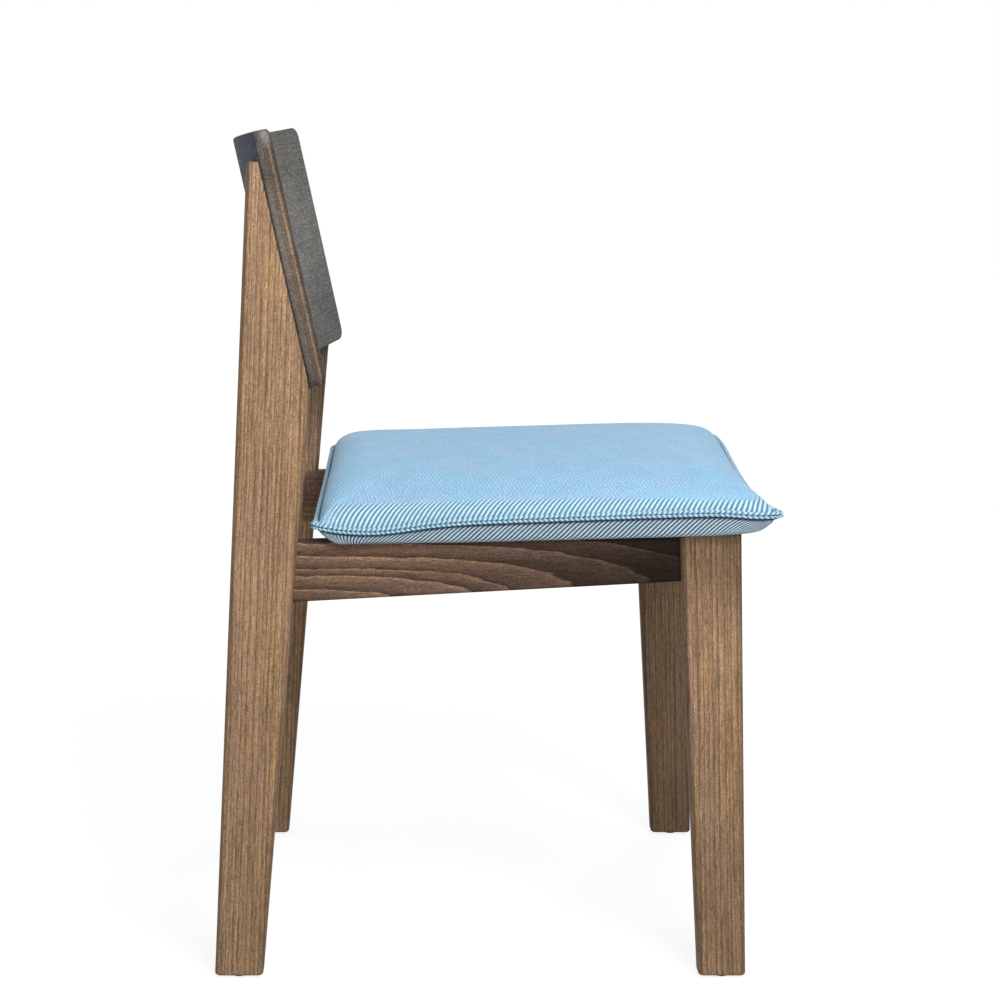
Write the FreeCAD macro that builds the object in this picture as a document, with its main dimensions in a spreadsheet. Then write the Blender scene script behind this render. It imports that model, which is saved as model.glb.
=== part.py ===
import FreeCAD, Part
import math
import os
import re
import Sketcher

# Upholstered dining chair: a doweled wooden frame of four plank legs and four rails,
# a bent plywood back panel between the rear posts, and a screwed-on upholstered seat pad.
# Millimetres. X runs across the chair (left of the sitter is +X), the front faces -Y,
# Z is up, and the origin is on the floor under the middle of the chair's box.

Vector = FreeCAD.Vector
Placement = FreeCAD.Placement
Rotation = FreeCAD.Rotation

doc = FreeCAD.newDocument("UpholsteredChair")

# Driving dimensions, each set by itself
SIZES = {
    # whole chair
    "overall_depth": 530,
    "frame_width": 450,
    "fit_gap": 0.2,
    "hole_clearance": 0.1,
    "cut_overrun": 5,
    # plank legs
    "leg_thickness": 24,
    "leg_round": 6,
    "foot_round": 2.5,
    # rear legs, each one plank from the floor to the top of the post
    "rear_foot_depth": 46,
    "rear_leg_sweep": 49.4,
    "post_top_depth": 10.9,
    "post_drop": 26.6,
    # front legs
    "front_foot_setback": 23.5,
    "front_foot_depth": 45,
    "front_top_setback": 38,
    "front_top_depth": 57.5,
    # seat plane: the tops of the rails and front legs
    "seat_plane_height": 427,
    "seat_pitch": 1.65,
    # side rails
    "rail_thickness": 21,
    "rail_recess": 7,
    "rail_lap": 12,
    "rail_depth_rear": 57,
    "rail_depth_front": 47.5,
    "rail_round": 3,
    # front and rear rails between the legs
    "cross_rail_thickness": 20,
    "cross_rail_depth": 45,
    "cross_rail_round": 2,
    # corner blocks behind the front rail
    "block_leg": 60,
    "block_nose": 9,
    "block_thickness": 25,
    "block_drop": 3,
    # seat cleats, along the insides of the side rails, which carry the pad's screws
    "cleat_width": 18,
    "cleat_depth": 22,
    "cleat_gap": 4,
    # beech dowels
    "dowel_diameter": 8,
    "dowel_length": 36,
    "dowel_in_leg": 15,
    "dowel_spacing": 22,
    "dowel_chamfer": 1,
    # bent back panel
    "panel_bottom_height": 565,
    "panel_height": 236,
    "panel_width": 456,
    "panel_thickness": 17,
    "panel_radius": 770,
    "panel_rake": 12.3,
    "panel_corner": 12,
    "panel_edge_round": 3,
    # wood screws, with countersunk heads
    "screw_diameter": 4,
    "screw_head_diameter": 8,
    "screw_head_depth": 2.5,
    "rail_screw_length": 30,
    "rail_screw_bite": 14,
    "block_screw_place": 40,
    "seat_screw_length": 32,
    "seat_screw_place": 24,
    "back_screw_length": 30,
    "back_screw_bite": 11,
    "back_screw_low": 35,
    "back_screw_below_top": 84,
    "plug_length": 7,
    # floor glides under the feet
    "glide_height": 2,
    "glide_diameter": 15,
    "glide_edge": 0.6,
    "glide_pin_diameter": 2.4,
    "glide_pin_length": 12,
    # seat pad, from its underside up
    "seat_side_overhang": 5,
    "seat_post_gap": 16.8,
    "flange_width": 5,
    "flange_thickness": 2.4,
    "flange_corner": 7,
    "seam_height": 15,
    "side_draw_in": 6,
    "pad_corner": 26,
    "pad_height": 58,
    "crown_side_reach": 170,
    "crown_end_reach": 100,
    "cover_thickness": 1.2,
    "cover_return": 26,
    "dust_cover_thickness": 0.8,
    "dust_cover_inset": 9,
    "board_thickness": 12,
    "board_inset": 20,
    "board_corner": 22,
    # staples that hold the cover's return and the dust cover to the board
    "staple_crown": 10,
    "staple_leg": 6,
    "staple_wire": 1,
    "staple_spacing": 48,
}

# Form of the pad: its lower sections as shares of the seam's height, and its crown as a
# superellipse, with the share of its quarter turn that the sections cover
LOWER_HEIGHT_SHARES = (0.0, 0.42, 1.0)
LOWER_INSET_SHARES = (0.65, 0.15, 0.0)
CROWN_POWER_SHARE = 0.9
CROWN_TURN_SHARE = 0.93
CROWN_SECTIONS = 7
LOFT_DEGREE = 3

# Places worked out from the driving dimensions, in the order they build on each other
PLACES = {
    "half_width": "frame_width / 2",
    "leg_inner_x": "frame_width / 2 - leg_thickness",
    "rail_outer_x": "frame_width / 2 - rail_recess",
    "rail_inner_x": "rail_outer_x - rail_thickness",
    "seat_rise": "tan(seat_pitch)",
    "rear_foot_back_y": "overall_depth / 2",
    "rear_foot_front_y": "overall_depth / 2 - rear_foot_depth",
    "kink_front_y": "rear_foot_front_y - rear_leg_sweep",
    "post_height": "panel_bottom_height + panel_height * cos(panel_rake) - post_drop",
    "post_top_front_y": "kink_front_y + (post_height - panel_bottom_height) * tan(panel_rake)",
    "post_top_back_y": "post_top_front_y + post_top_depth",
    "post_slope": "(rear_foot_back_y - post_top_back_y) / (post_height - glide_height)",
    "kink_back_y": "rear_foot_back_y - post_slope * (panel_bottom_height - glide_height)",
    "front_foot_front_y": "front_foot_setback - overall_depth / 2",
    "front_foot_rear_y": "front_foot_front_y + front_foot_depth",
    "front_top_front_y": "front_top_setback - overall_depth / 2",
    "front_top_rear_y": "front_top_front_y + front_top_depth",
    "front_top_front_z": "seat_plane_height - front_top_front_y * seat_rise",
    "front_top_rear_z": "seat_plane_height - front_top_rear_y * seat_rise",
    "post_run": "(kink_front_y - rear_foot_front_y) / (panel_bottom_height - glide_height)",
    "leg_run": "(front_top_rear_y - front_foot_rear_y) / (front_top_rear_z - glide_height)",
    "rail_rear_top_y": "(rear_foot_front_y + post_run * (seat_plane_height - glide_height))"
                       " / (1 + post_run * seat_rise)",
    "rail_rear_top_z": "seat_plane_height - rail_rear_top_y * seat_rise",
    "rail_rear_low_z": "rail_rear_top_z - rail_depth_rear",
    "rail_rear_low_y": "rear_foot_front_y + post_run * (rail_rear_low_z - glide_height)",
    "rail_front_low_z": "front_top_rear_z - rail_depth_front",
    "rail_front_low_y": "front_foot_rear_y + leg_run * (rail_front_low_z - glide_height)",
    "front_rail_rear_y": "(front_top_front_y + front_top_rear_y + cross_rail_thickness) / 2",
    "front_rail_front_y": "front_rail_rear_y - cross_rail_thickness",
    "post_back_y": "rear_foot_back_y - post_slope * (rail_rear_top_z - glide_height)",
    "rear_rail_front_y": "(rail_rear_top_y + post_back_y - cross_rail_thickness) / 2",
    "rear_rail_rear_y": "rear_rail_front_y + cross_rail_thickness",
    "panel_sag": "panel_radius - sqrt(panel_radius ^ 2 - half_width ^ 2)",
    "panel_origin_y": "kink_front_y + panel_sag * cos(panel_rake) - fit_gap",
    "panel_origin_z": "panel_bottom_height - panel_sag * sin(panel_rake)",
    "panel_front_share": "(panel_radius - panel_thickness) / panel_radius",
    "back_screw_high": "panel_height - post_drop / cos(panel_rake) - back_screw_below_top",
    "pad_front_y": "-(overall_depth / 2 + seam_height * sin(seat_pitch)) / cos(seat_pitch)",
    "pad_rear_y": "rail_rear_top_y - seat_post_gap",
    "pad_middle_y": "(pad_front_y + pad_rear_y) / 2",
    "seat_length": "pad_rear_y - pad_front_y",
    "seat_width": "frame_width + 2 * seat_side_overhang",
    "board_front_y": "pad_front_y + board_inset",
    "board_rear_y": "pad_rear_y - board_inset",
    "cleat_front_y": "front_rail_rear_y + block_leg + cleat_gap",
    "cleat_rear_y": "board_rear_y",
}

sizes = doc.addObject("Spreadsheet::Sheet", "Sizes")
places = doc.addObject("Spreadsheet::Sheet", "Places")


def formula(text):
    """Write each size or place in the text with the name of the sheet that holds it."""
    def with_sheet(found):
        word = found.group()
        if word in SIZES:
            return "Sizes." + word
        if word in PLACES:
            return "Places." + word
        return word
    return re.sub(r"[a-z_]+", with_sheet, text)


for row, name in enumerate(SIZES, start=1):
    sizes.set("A%d" % row, name)
    sizes.set("B%d" % row, str(SIZES[name]))
    sizes.setAlias("B%d" % row, name)
doc.recompute()
for row, name in enumerate(PLACES, start=1):
    places.set("A%d" % row, name)
    places.set("B%d" % row, "=" + formula(PLACES[name]))
    places.setAlias("B%d" % row, name)
    doc.recompute()


def size(name):
    """The value of a size or place, as the sheets hold it."""
    sheet = sizes if name in SIZES else places
    value = sheet.get(name)
    return float(getattr(value, "Value", value))


# The two tilted frames: the seat plane, pitched up to the front, and the raked back panel
seat_frame = Placement(
    Vector(0, 0, size("seat_plane_height")),
    Rotation(Vector(1, 0, 0), -size("seat_pitch")))
panel_frame = Placement(
    Vector(0, size("panel_origin_y"), size("panel_origin_z")),
    Rotation(Vector(1, 0, 0), -size("panel_rake")))


def origin_plane(body, role):
    """The origin plane of a body that has the given role."""
    return [part for part in body.Origin.OriginFeatures if part.Role == role][0]


def outline_sketch(body, name, role, corners, level="0"):
    """A closed polygon on a plane of the body, each corner bound to the sheets."""
    sketch = body.newObject("Sketcher::SketchObject", name)
    sketch.AttachmentSupport = [(origin_plane(body, role), "")]
    sketch.MapMode = "FlatFace"
    sketch.setExpression("AttachmentOffset.Base.z", formula(level))
    # first guesses on a circle keep the corners apart and in order until the sheets place them
    count = len(corners)
    guess = [Vector(math.cos(2 * math.pi * step / count), math.sin(2 * math.pi * step / count), 0)
             for step in range(count)]
    for step in range(count):
        sketch.addGeometry(Part.LineSegment(guess[step], guess[(step + 1) % count]), False)
    for step in range(count):
        following = (step + 1) % count
        sketch.addConstraint(Sketcher.Constraint("Coincident", step, 2, following, 1))
    for step, (across, up) in enumerate(corners):
        for kind, start, text in (("DistanceX", guess[step].x, across), ("DistanceY", guess[step].y, up)):
            index = sketch.addConstraint(Sketcher.Constraint(kind, -1, 1, step, 1, start))
            sketch.setExpression("Constraints[%d]" % index, formula(text))
    return sketch


def plank(name, role, corners, length, level="0", sketch_name="Outline"):
    """A body with one padded outline."""
    body = doc.addObject("PartDesign::Body", name)
    sketch = outline_sketch(body, name + sketch_name, role, corners, level)
    pad = body.newObject("PartDesign::Pad", name + "Pad")
    pad.Profile = sketch
    pad.setExpression("Length", formula(length))
    doc.recompute()
    return body


def add_pad(body, name, role, corners, length, level="0"):
    """One more padded outline on a body."""
    sketch = outline_sketch(body, name + "Outline", role, corners, level)
    pad = body.newObject("PartDesign::Pad", name + "Pad")
    pad.Profile = sketch
    pad.setExpression("Length", formula(length))
    doc.recompute()


def round_edges(body, name, radius, wanted):
    """Round the edges of the body's tip that the test picks."""
    tip = body.Tip
    chosen = ["Edge%d" % (index + 1) for index, edge in enumerate(tip.Shape.Edges) if wanted(edge)]
    fillet = body.newObject("PartDesign::Fillet", name)
    fillet.Base = (tip, chosen)
    fillet.setExpression("Radius", formula(radius))
    doc.recompute()


def tangent(edge):
    """The direction of an edge at its middle."""
    middle = (edge.FirstParameter + edge.LastParameter) / 2
    return edge.tangentAt(middle)


def middle_of(edge):
    """The middle point of an edge."""
    return edge.valueAt((edge.FirstParameter + edge.LastParameter) / 2)


def runs_along(edge, direction, share=0.98):
    """Whether an edge runs along a direction, one way or the other."""
    return abs(tangent(edge).dot(direction)) > share


X_AXIS = Vector(1, 0, 0)
Y_AXIS = Vector(0, 1, 0)
Z_AXIS = Vector(0, 0, 1)
SIDES = {"left": 1, "right": -1}


def shaped(name, shape, frame=Placement()):
    """A sub-part whose shape is worked out here, with its placement set after its shape."""
    part = doc.addObject("Part::Feature", name)
    part.Shape = shape
    part.Placement = frame
    part.Label = name
    return part


def cylinder_along(start, direction, length, diameter):
    """A cylinder from a point along a direction."""
    return Part.makeCylinder(diameter / 2, length, start, direction)


def drilled(name, body, tools):
    """A sub-part: the body with the holes cut."""
    tool = doc.addObject("Part::Feature", name + "_holes")
    tool.Shape = Part.makeCompound(tools)
    part = doc.addObject("Part::Cut", name + "_part")
    part.Base = body
    part.Tool = tool
    part.Label = name
    nodes[name] = part
    return part


nodes = {}
holes = {name: [] for name in (
    "rear_leg_left", "rear_leg_right", "front_leg_left", "front_leg_right",
    "side_rail_left", "side_rail_right", "front_rail", "rear_rail", "backrest_panel",
    "corner_block_left", "corner_block_right",
    "seat_cleat_left", "seat_cleat_right", "seat_board", "seat_cover_bottom", "dust_cover")}


# Legs: planks whose long edges are rounded and whose feet are eased
def leg(name, corners, side, long_edge):
    body = plank(name.title().replace("_", ""), "YZ_Plane", corners, "leg_thickness")
    round_edges(body, body.Name + "Round", "leg_round", long_edge)
    foot = size("glide_height")
    reach = size("fit_gap")
    round_edges(body, body.Name + "Foot", "foot_round",
                lambda edge: abs(edge.BoundBox.ZMax - foot) < reach)
    start = "half_width - leg_thickness" if side == "left" else "-half_width"
    body.setExpression("Placement.Base.x", formula(start))
    doc.recompute()
    return body


REAR_LEG = (
    ("rear_foot_back_y", "glide_height"),
    ("rear_foot_front_y", "glide_height"),
    ("kink_front_y", "panel_bottom_height"),
    ("post_top_front_y", "post_height"),
    ("post_top_back_y", "post_height"))
FRONT_LEG = (
    ("front_foot_front_y", "glide_height"),
    ("front_top_front_y", "front_top_front_z"),
    ("front_top_rear_y", "front_top_rear_z"),
    ("front_foot_rear_y", "glide_height"))


def rear_long_edge(edge):
    """The back edges, and the front edges below the panel."""
    point = middle_of(edge)
    below_panel = point.z < size("panel_bottom_height")
    at_back = point.y > size("kink_back_y") - size("leg_round") and point.z > size("leg_round")
    return not runs_along(edge, X_AXIS) and not runs_along(edge, Y_AXIS) and (below_panel or at_back)


def front_long_edge(edge):
    """The upright edges."""
    return not runs_along(edge, X_AXIS) and not runs_along(edge, Y_AXIS, 0.9)


bodies = {}
for side in SIDES:
    bodies["rear_leg_" + side] = leg("rear_leg_" + side, REAR_LEG, side, rear_long_edge)
    bodies["front_leg_" + side] = leg("front_leg_" + side, FRONT_LEG, side, front_long_edge)

# Side rails: the outer part stands between the legs, the inner part laps over their inner faces
RAIL_BUTT = (
    ("rail_rear_top_y", "rail_rear_top_z"),
    ("front_top_rear_y", "front_top_rear_z"),
    ("rail_front_low_y", "rail_front_low_z"),
    ("rail_rear_low_y", "rail_rear_low_z"))
RAIL_LAP = (
    ("rail_rear_top_y + rail_lap", "rail_rear_top_z - rail_lap * seat_rise"),
    ("front_top_rear_y - rail_lap", "front_top_rear_z + rail_lap * seat_rise"),
    ("rail_front_low_y - rail_lap", "rail_front_low_z"),
    ("rail_rear_low_y + rail_lap", "rail_rear_low_z"))

for side, sign in SIDES.items():
    name = "side_rail_" + side
    title = name.title().replace("_", "")
    butt = "rail_outer_x - leg_inner_x"
    lap = "leg_inner_x - rail_inner_x"
    # the left rail grows outwards from its lap, the right rail inwards from its outer face
    butt_level = lap if side == "left" else "0"
    lap_level = "0" if side == "left" else butt
    body = plank(title, "YZ_Plane", RAIL_BUTT, butt, butt_level)
    add_pad(body, title + "Lap", "YZ_Plane", RAIL_LAP, lap, lap_level)
    inner_level = 0 if side == "left" else size("rail_thickness")
    outer_level = size("rail_thickness") - inner_level

    def rail_long_edge(edge):
        """The long edges of the inner and outer faces."""
        across = middle_of(edge).x
        on_face = min(abs(across - inner_level), abs(across - outer_level)) < size("fit_gap")
        return on_face and runs_along(edge, Y_AXIS, 0.95)

    round_edges(body, title + "Round", "rail_round", rail_long_edge)
    start = "rail_inner_x" if side == "left" else "-rail_outer_x"
    body.setExpression("Placement.Base.x", formula(start))
    doc.recompute()
    bodies[name] = body

# Front and rear rails, square to the seat plane, their tops in it
for name, near, far in (("front_rail", "front_rail_front_y", "front_rail_rear_y"),
                        ("rear_rail", "rear_rail_front_y", "rear_rail_rear_y")):
    title = name.title().replace("_", "")
    corners = (("-leg_inner_x", near), ("leg_inner_x", near), ("leg_inner_x", far), ("-leg_inner_x", far))
    body = plank(title, "XY_Plane", corners, "cross_rail_depth", "-cross_rail_depth")
    round_edges(body, title + "Round", "cross_rail_round", lambda edge: runs_along(edge, X_AXIS))
    body.Placement = seat_frame
    bodies[name] = body

# Corner blocks, glued and screwed into the two front corners under the seat
for side, sign in SIDES.items():
    name = "corner_block_" + side
    rail = "%d * rail_inner_x" % sign
    corners = (
        ("%s - %d * block_leg" % (rail, sign), "front_rail_rear_y"),
        ("%s - %d * block_nose" % (rail, sign), "front_rail_rear_y"),
        (rail, "front_rail_rear_y + block_nose"),
        (rail, "front_rail_rear_y + block_leg"))
    body = plank(name.title().replace("_", ""), "XY_Plane", corners, "block_thickness",
                 "-block_drop - block_thickness")
    body.Placement = seat_frame
    bodies[name] = body

# Seat cleats, glued and screwed along the side rails with their tops in the seat plane
for side, sign in SIDES.items():
    name = "seat_cleat_" + side
    inner = "%d * (rail_inner_x - cleat_width)" % sign
    outer = "%d * rail_inner_x" % sign
    corners = ((inner, "cleat_front_y"), (outer, "cleat_front_y"), (outer, "cleat_rear_y"),
               (inner, "cleat_rear_y"))
    body = plank(name.title().replace("_", ""), "XY_Plane", corners, "cleat_depth", "-cleat_depth")
    body.Placement = seat_frame
    bodies[name] = body

# Back panel: plywood bent round an upright line in front of the sitter's back
panel = doc.addObject("PartDesign::Body", "BackrestPanel")
band = panel.newObject("Sketcher::SketchObject", "PanelBand")
band.AttachmentSupport = [(origin_plane(panel, "XY_Plane"), "")]
band.MapMode = "FlatFace"
half = size("panel_width") / 2
radius = size("panel_radius")
swing = math.asin(half / radius)
centre = Vector(0, -radius, 0)
up = math.pi / 2
back_arc = band.addGeometry(Part.ArcOfCircle(
    Part.Circle(centre, Z_AXIS, radius), up - swing, up + swing), False)
inner_radius = radius - size("panel_thickness")
front_arc = band.addGeometry(Part.ArcOfCircle(
    Part.Circle(centre, Z_AXIS, inner_radius), up - swing, up + swing), False)
ends = []
for turn in (up - swing, up + swing):
    outward = Vector(math.cos(turn), math.sin(turn), 0)
    ends.append(band.addGeometry(Part.LineSegment(
        centre + outward * radius, centre + outward * inner_radius), False))
for position, end_line in enumerate(ends, start=1):
    band.addConstraint(Sketcher.Constraint("Coincident", back_arc, position, end_line, 1))
    band.addConstraint(Sketcher.Constraint("Coincident", front_arc, position, end_line, 2))
band.addConstraint(Sketcher.Constraint("Coincident", back_arc, 3, front_arc, 3))
band.addConstraint(Sketcher.Constraint("PointOnObject", back_arc, 3, -2))


def bound_constraint(sketch, constraint, text):
    """Add a constraint whose value follows the sheets."""
    index = sketch.addConstraint(constraint)
    sketch.setExpression("Constraints[%d]" % index, formula(text))


bound_constraint(band, Sketcher.Constraint("DistanceY", back_arc, 3, -1, 1, radius), "panel_radius")
bound_constraint(band, Sketcher.Constraint("Radius", back_arc, radius), "panel_radius")
bound_constraint(band, Sketcher.Constraint("Radius", front_arc, inner_radius),
                 "panel_radius - panel_thickness")
bound_constraint(band, Sketcher.Constraint("DistanceX", -1, 1, back_arc, 1, half), "panel_width / 2")
bound_constraint(band, Sketcher.Constraint("DistanceX", back_arc, 2, -1, 1, half), "panel_width / 2")
for position, sign in ((1, 1), (2, -1)):
    start = half * inner_radius / radius
    first, second = ((-1, 1), (front_arc, position)) if sign > 0 else ((front_arc, position), (-1, 1))
    bound_constraint(band, Sketcher.Constraint("DistanceX", first[0], first[1], second[0], second[1], start),
                     "panel_width / 2 * panel_front_share")
panel_pad = panel.newObject("PartDesign::Pad", "PanelPad")
panel_pad.Profile = band
panel_pad.setExpression("Length", formula("panel_height"))
doc.recompute()


def panel_corner_edge(edge):
    """The short edges through the ply at the four corners."""
    return edge.Length < size("panel_thickness") + size("fit_gap") and not runs_along(edge, Z_AXIS)


round_edges(panel, "PanelCorners", "panel_corner", panel_corner_edge)
round_edges(panel, "PanelEdges", "panel_edge_round", lambda edge: edge.Length > size("panel_corner"))
panel.Placement = panel_frame
bodies["backrest_panel"] = panel

# The posts are shaped to the back of the panel, which stands on a small ledge in each
back_form = Part.makeCylinder(
    size("panel_radius") + size("fit_gap"),
    size("panel_height") + size("cut_overrun"),
    Vector(0, -size("panel_radius"), -size("fit_gap")),
    Z_AXIS)
back_form.Placement = panel_frame
for side in SIDES:
    holes["rear_leg_" + side].append(back_form)


# Dowels, two to each joint of the frame
def dowel(start, direction):
    """A chamfered dowel along a direction from its first end."""
    rod = cylinder_along(start, direction, size("dowel_length"), size("dowel_diameter"))
    rims = [edge for edge in rod.Edges if len(edge.Vertexes) == 1 and edge.Closed]
    return rod.makeChamfer(size("dowel_chamfer"), rims)


def dowel_hole(start, direction):
    """The hole for a dowel, a little wider and longer."""
    spare = size("hole_clearance")
    return cylinder_along(start - direction * spare, direction,
                          size("dowel_length") + 2 * spare, size("dowel_diameter") + 2 * spare)


dowel_groups = {name: [] for name in (
    "side_rail_dowels_left", "side_rail_dowels_right", "front_rail_dowels", "rear_rail_dowels")}


def add_dowels(group, start, direction, across, pieces):
    """A pair of dowels above each other, with their holes in two pieces, in the seat's frame."""
    for step in (-1, 1):
        point = start + across * (step * size("dowel_spacing") / 2)
        dowel_groups[group].append(dowel(point, direction))
        for piece in pieces:
            hole = dowel_hole(point, direction)
            hole.Placement = seat_frame.multiply(hole.Placement)
            holes[piece].append(hole)


butt_middle = (size("rail_outer_x") + size("leg_inner_x")) / 2
for side, sign in SIDES.items():
    rail = "side_rail_" + side
    group = "side_rail_dowels_" + side
    rear_mid_y = (size("rail_rear_top_y") + size("rail_rear_low_y")) / 2
    front_mid_y = (size("front_top_rear_y") + size("rail_front_low_y")) / 2
    half_dowel = size("dowel_length") / 2
    add_dowels(group, Vector(sign * butt_middle, rear_mid_y - half_dowel, -size("rail_depth_rear") / 2),
               Y_AXIS, Z_AXIS, (rail, "rear_leg_" + side))
    add_dowels(group, Vector(sign * butt_middle, front_mid_y - half_dowel, -size("rail_depth_front") / 2),
               Y_AXIS, Z_AXIS, (rail, "front_leg_" + side))
    inward = X_AXIS * -sign
    leg_end = sign * (size("leg_inner_x") + size("dowel_in_leg"))
    low = -size("cross_rail_depth") / 2
    for end in ("front", "rear"):
        rail = end + "_rail"
        rail_y = (size(rail + "_front_y") + size(rail + "_rear_y")) / 2
        add_dowels(rail + "_dowels", Vector(leg_end, rail_y, low), inward, Z_AXIS,
                   (rail, "%s_leg_%s" % (end, side)))
for group, rods in dowel_groups.items():
    nodes[group] = shaped(group, Part.makeCompound(rods), seat_frame)


# Wood screws: one form for all, in lengths
def screw(start, direction, length):
    """A countersunk screw from the face of its head along a direction."""
    head = Part.makeCone(size("screw_head_diameter") / 2, size("screw_diameter") / 2,
                         size("screw_head_depth"), start, direction)
    shank_start = start + direction * size("screw_head_depth")
    shank = cylinder_along(shank_start, direction, length - size("screw_head_depth"), size("screw_diameter"))
    return head.fuse(shank).removeSplitter()


def screw_hole(start, direction, length, bore):
    """The countersunk hole for a screw, with a bore of the given depth over its head."""
    spare = size("hole_clearance")
    head = Part.makeCone(size("screw_head_diameter") / 2 + spare, size("screw_diameter") / 2 + spare,
                         size("screw_head_depth"), start, direction)
    shank = cylinder_along(start, direction, length + spare, size("screw_diameter") + 2 * spare)
    over = cylinder_along(start - direction * bore, direction, bore, size("screw_head_diameter") + 2 * spare)
    return head.fuse([shank, over])


def add_screw(group, start, direction, length, bore, pieces):
    """A screw in the seat's frame, with its holes in the pieces that it passes through."""
    group.append(screw(start, direction, length))
    for piece in pieces:
        hole = screw_hole(start, direction, length, bore)
        if piece not in PAD_PIECES:
            hole.Placement = seat_frame.multiply(hole.Placement)
        holes[piece].append(hole)


PAD_PIECES = ("seat_board", "seat_cover_bottom", "dust_cover")
rail_screw_length = size("rail_screw_length")
back_off = rail_screw_length - size("rail_screw_bite")

# each corner block has one screw into the side rail and one into the front rail
block_screws = []
block_mid_z = -size("block_drop") - size("block_thickness") / 2
for side, sign in SIDES.items():
    block = "corner_block_" + side
    corner_x = sign * size("rail_inner_x")
    corner_y = size("front_rail_rear_y")
    along = size("block_screw_place")
    add_screw(block_screws, Vector(corner_x - sign * back_off, corner_y + along, block_mid_z),
              X_AXIS * sign, rail_screw_length, size("block_leg"), (block, "side_rail_" + side))
    add_screw(block_screws, Vector(corner_x - sign * along, corner_y + back_off, block_mid_z),
              -Y_AXIS, rail_screw_length, size("block_leg"), (block, "front_rail"))
nodes["corner_block_screws"] = shaped("corner_block_screws", Part.makeCompound(block_screws), seat_frame)

# each cleat has two screws into its rail, and two up through the dust cover into the board
cleat_screws = []
seat_screws = []
for side, sign in SIDES.items():
    cleat = "seat_cleat_" + side
    middle_x = sign * (size("rail_inner_x") - size("cleat_width") / 2)
    for end_y, inward in ((size("cleat_front_y"), 1), (size("cleat_rear_y"), -1)):
        seat_y = end_y + inward * size("seat_screw_place")
        add_screw(seat_screws, Vector(middle_x, seat_y, -size("cleat_depth")), Z_AXIS,
                  size("seat_screw_length"), size("cut_overrun"), (cleat,) + PAD_PIECES)
        rail_y = seat_y + inward * size("seat_screw_place")
        head_x = sign * (size("rail_inner_x") - back_off)
        add_screw(cleat_screws, Vector(head_x, rail_y, -size("cleat_depth") / 2), X_AXIS * sign,
                  rail_screw_length, size("cleat_width"), (cleat, "side_rail_" + side))
nodes["cleat_screws"] = shaped("cleat_screws", Part.makeCompound(cleat_screws), seat_frame)
nodes["seat_screws"] = shaped("seat_screws", Part.makeCompound(seat_screws), seat_frame)

# Back screws, driven from behind through each post into the panel, under wooden plugs
back_screws = []
plugs = []
post_middle = (size("half_width") + size("leg_inner_x")) / 2
rake = math.radians(size("panel_rake"))
post_slope = size("post_slope")
for side, sign in SIDES.items():
    sag = radius - math.sqrt(radius ** 2 - post_middle ** 2)
    for height in (size("back_screw_low"), size("back_screw_high")):
        tip = Vector(sign * post_middle, -sag - size("back_screw_bite"), height)
        head = tip + Y_AXIS * size("back_screw_length")
        back_screws.append(screw(head, -Y_AXIS, size("back_screw_length")))
        # how far behind the head the sloping back of the post lies, along the screw
        seat = panel_frame.multVec(head)
        behind = size("rear_foot_back_y") - post_slope * (seat.z - size("glide_height")) - seat.y
        mouth = behind / (math.cos(rake) - post_slope * math.sin(rake))
        bore = mouth + size("cut_overrun")
        for piece in ("rear_leg_" + side, "backrest_panel"):
            hole = screw_hole(head, -Y_AXIS, size("back_screw_length"), bore)
            hole.Placement = panel_frame.multiply(hole.Placement)
            holes[piece].append(hole)
        plug_start = head + Y_AXIS * (mouth - size("plug_length"))
        plug = cylinder_along(plug_start, Y_AXIS, size("plug_length") + size("cut_overrun"),
                              size("screw_head_diameter"))
        plug.Placement = panel_frame.multiply(plug.Placement)
        plugs.append(plug.common(bodies["rear_leg_" + side].Shape))
nodes["backrest_screws"] = shaped("backrest_screws", Part.makeCompound(back_screws), panel_frame)
nodes["backrest_screw_plugs"] = shaped("backrest_screw_plugs", Part.makeCompound(plugs))

# Floor glides: a disc on a pin, one under the middle of each foot
FEET = {
    "rear": (size("rear_foot_front_y") + size("rear_foot_back_y")) / 2,
    "front": (size("front_foot_front_y") + size("front_foot_rear_y")) / 2}
for end, foot_y in FEET.items():
    for side, sign in SIDES.items():
        foot = Vector(sign * post_middle, foot_y, 0)
        disc = cylinder_along(foot, Z_AXIS, size("glide_height"), size("glide_diameter"))
        rim = [edge for edge in disc.Edges if edge.BoundBox.ZMax < size("fit_gap") and edge.Closed]
        disc = disc.makeChamfer(size("glide_edge"), rim)
        top = foot + Z_AXIS * size("glide_height")
        pin = cylinder_along(top, Z_AXIS, size("glide_pin_length"), size("glide_pin_diameter"))
        name = "foot_glide_%s_%s" % (end, side)
        nodes[name] = shaped(name, disc.fuse(pin).removeSplitter())
        spare = size("hole_clearance")
        holes["%s_leg_%s" % (end, side)].append(cylinder_along(
            top, Z_AXIS, size("glide_pin_length") + spare, size("glide_pin_diameter") + 2 * spare))


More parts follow.
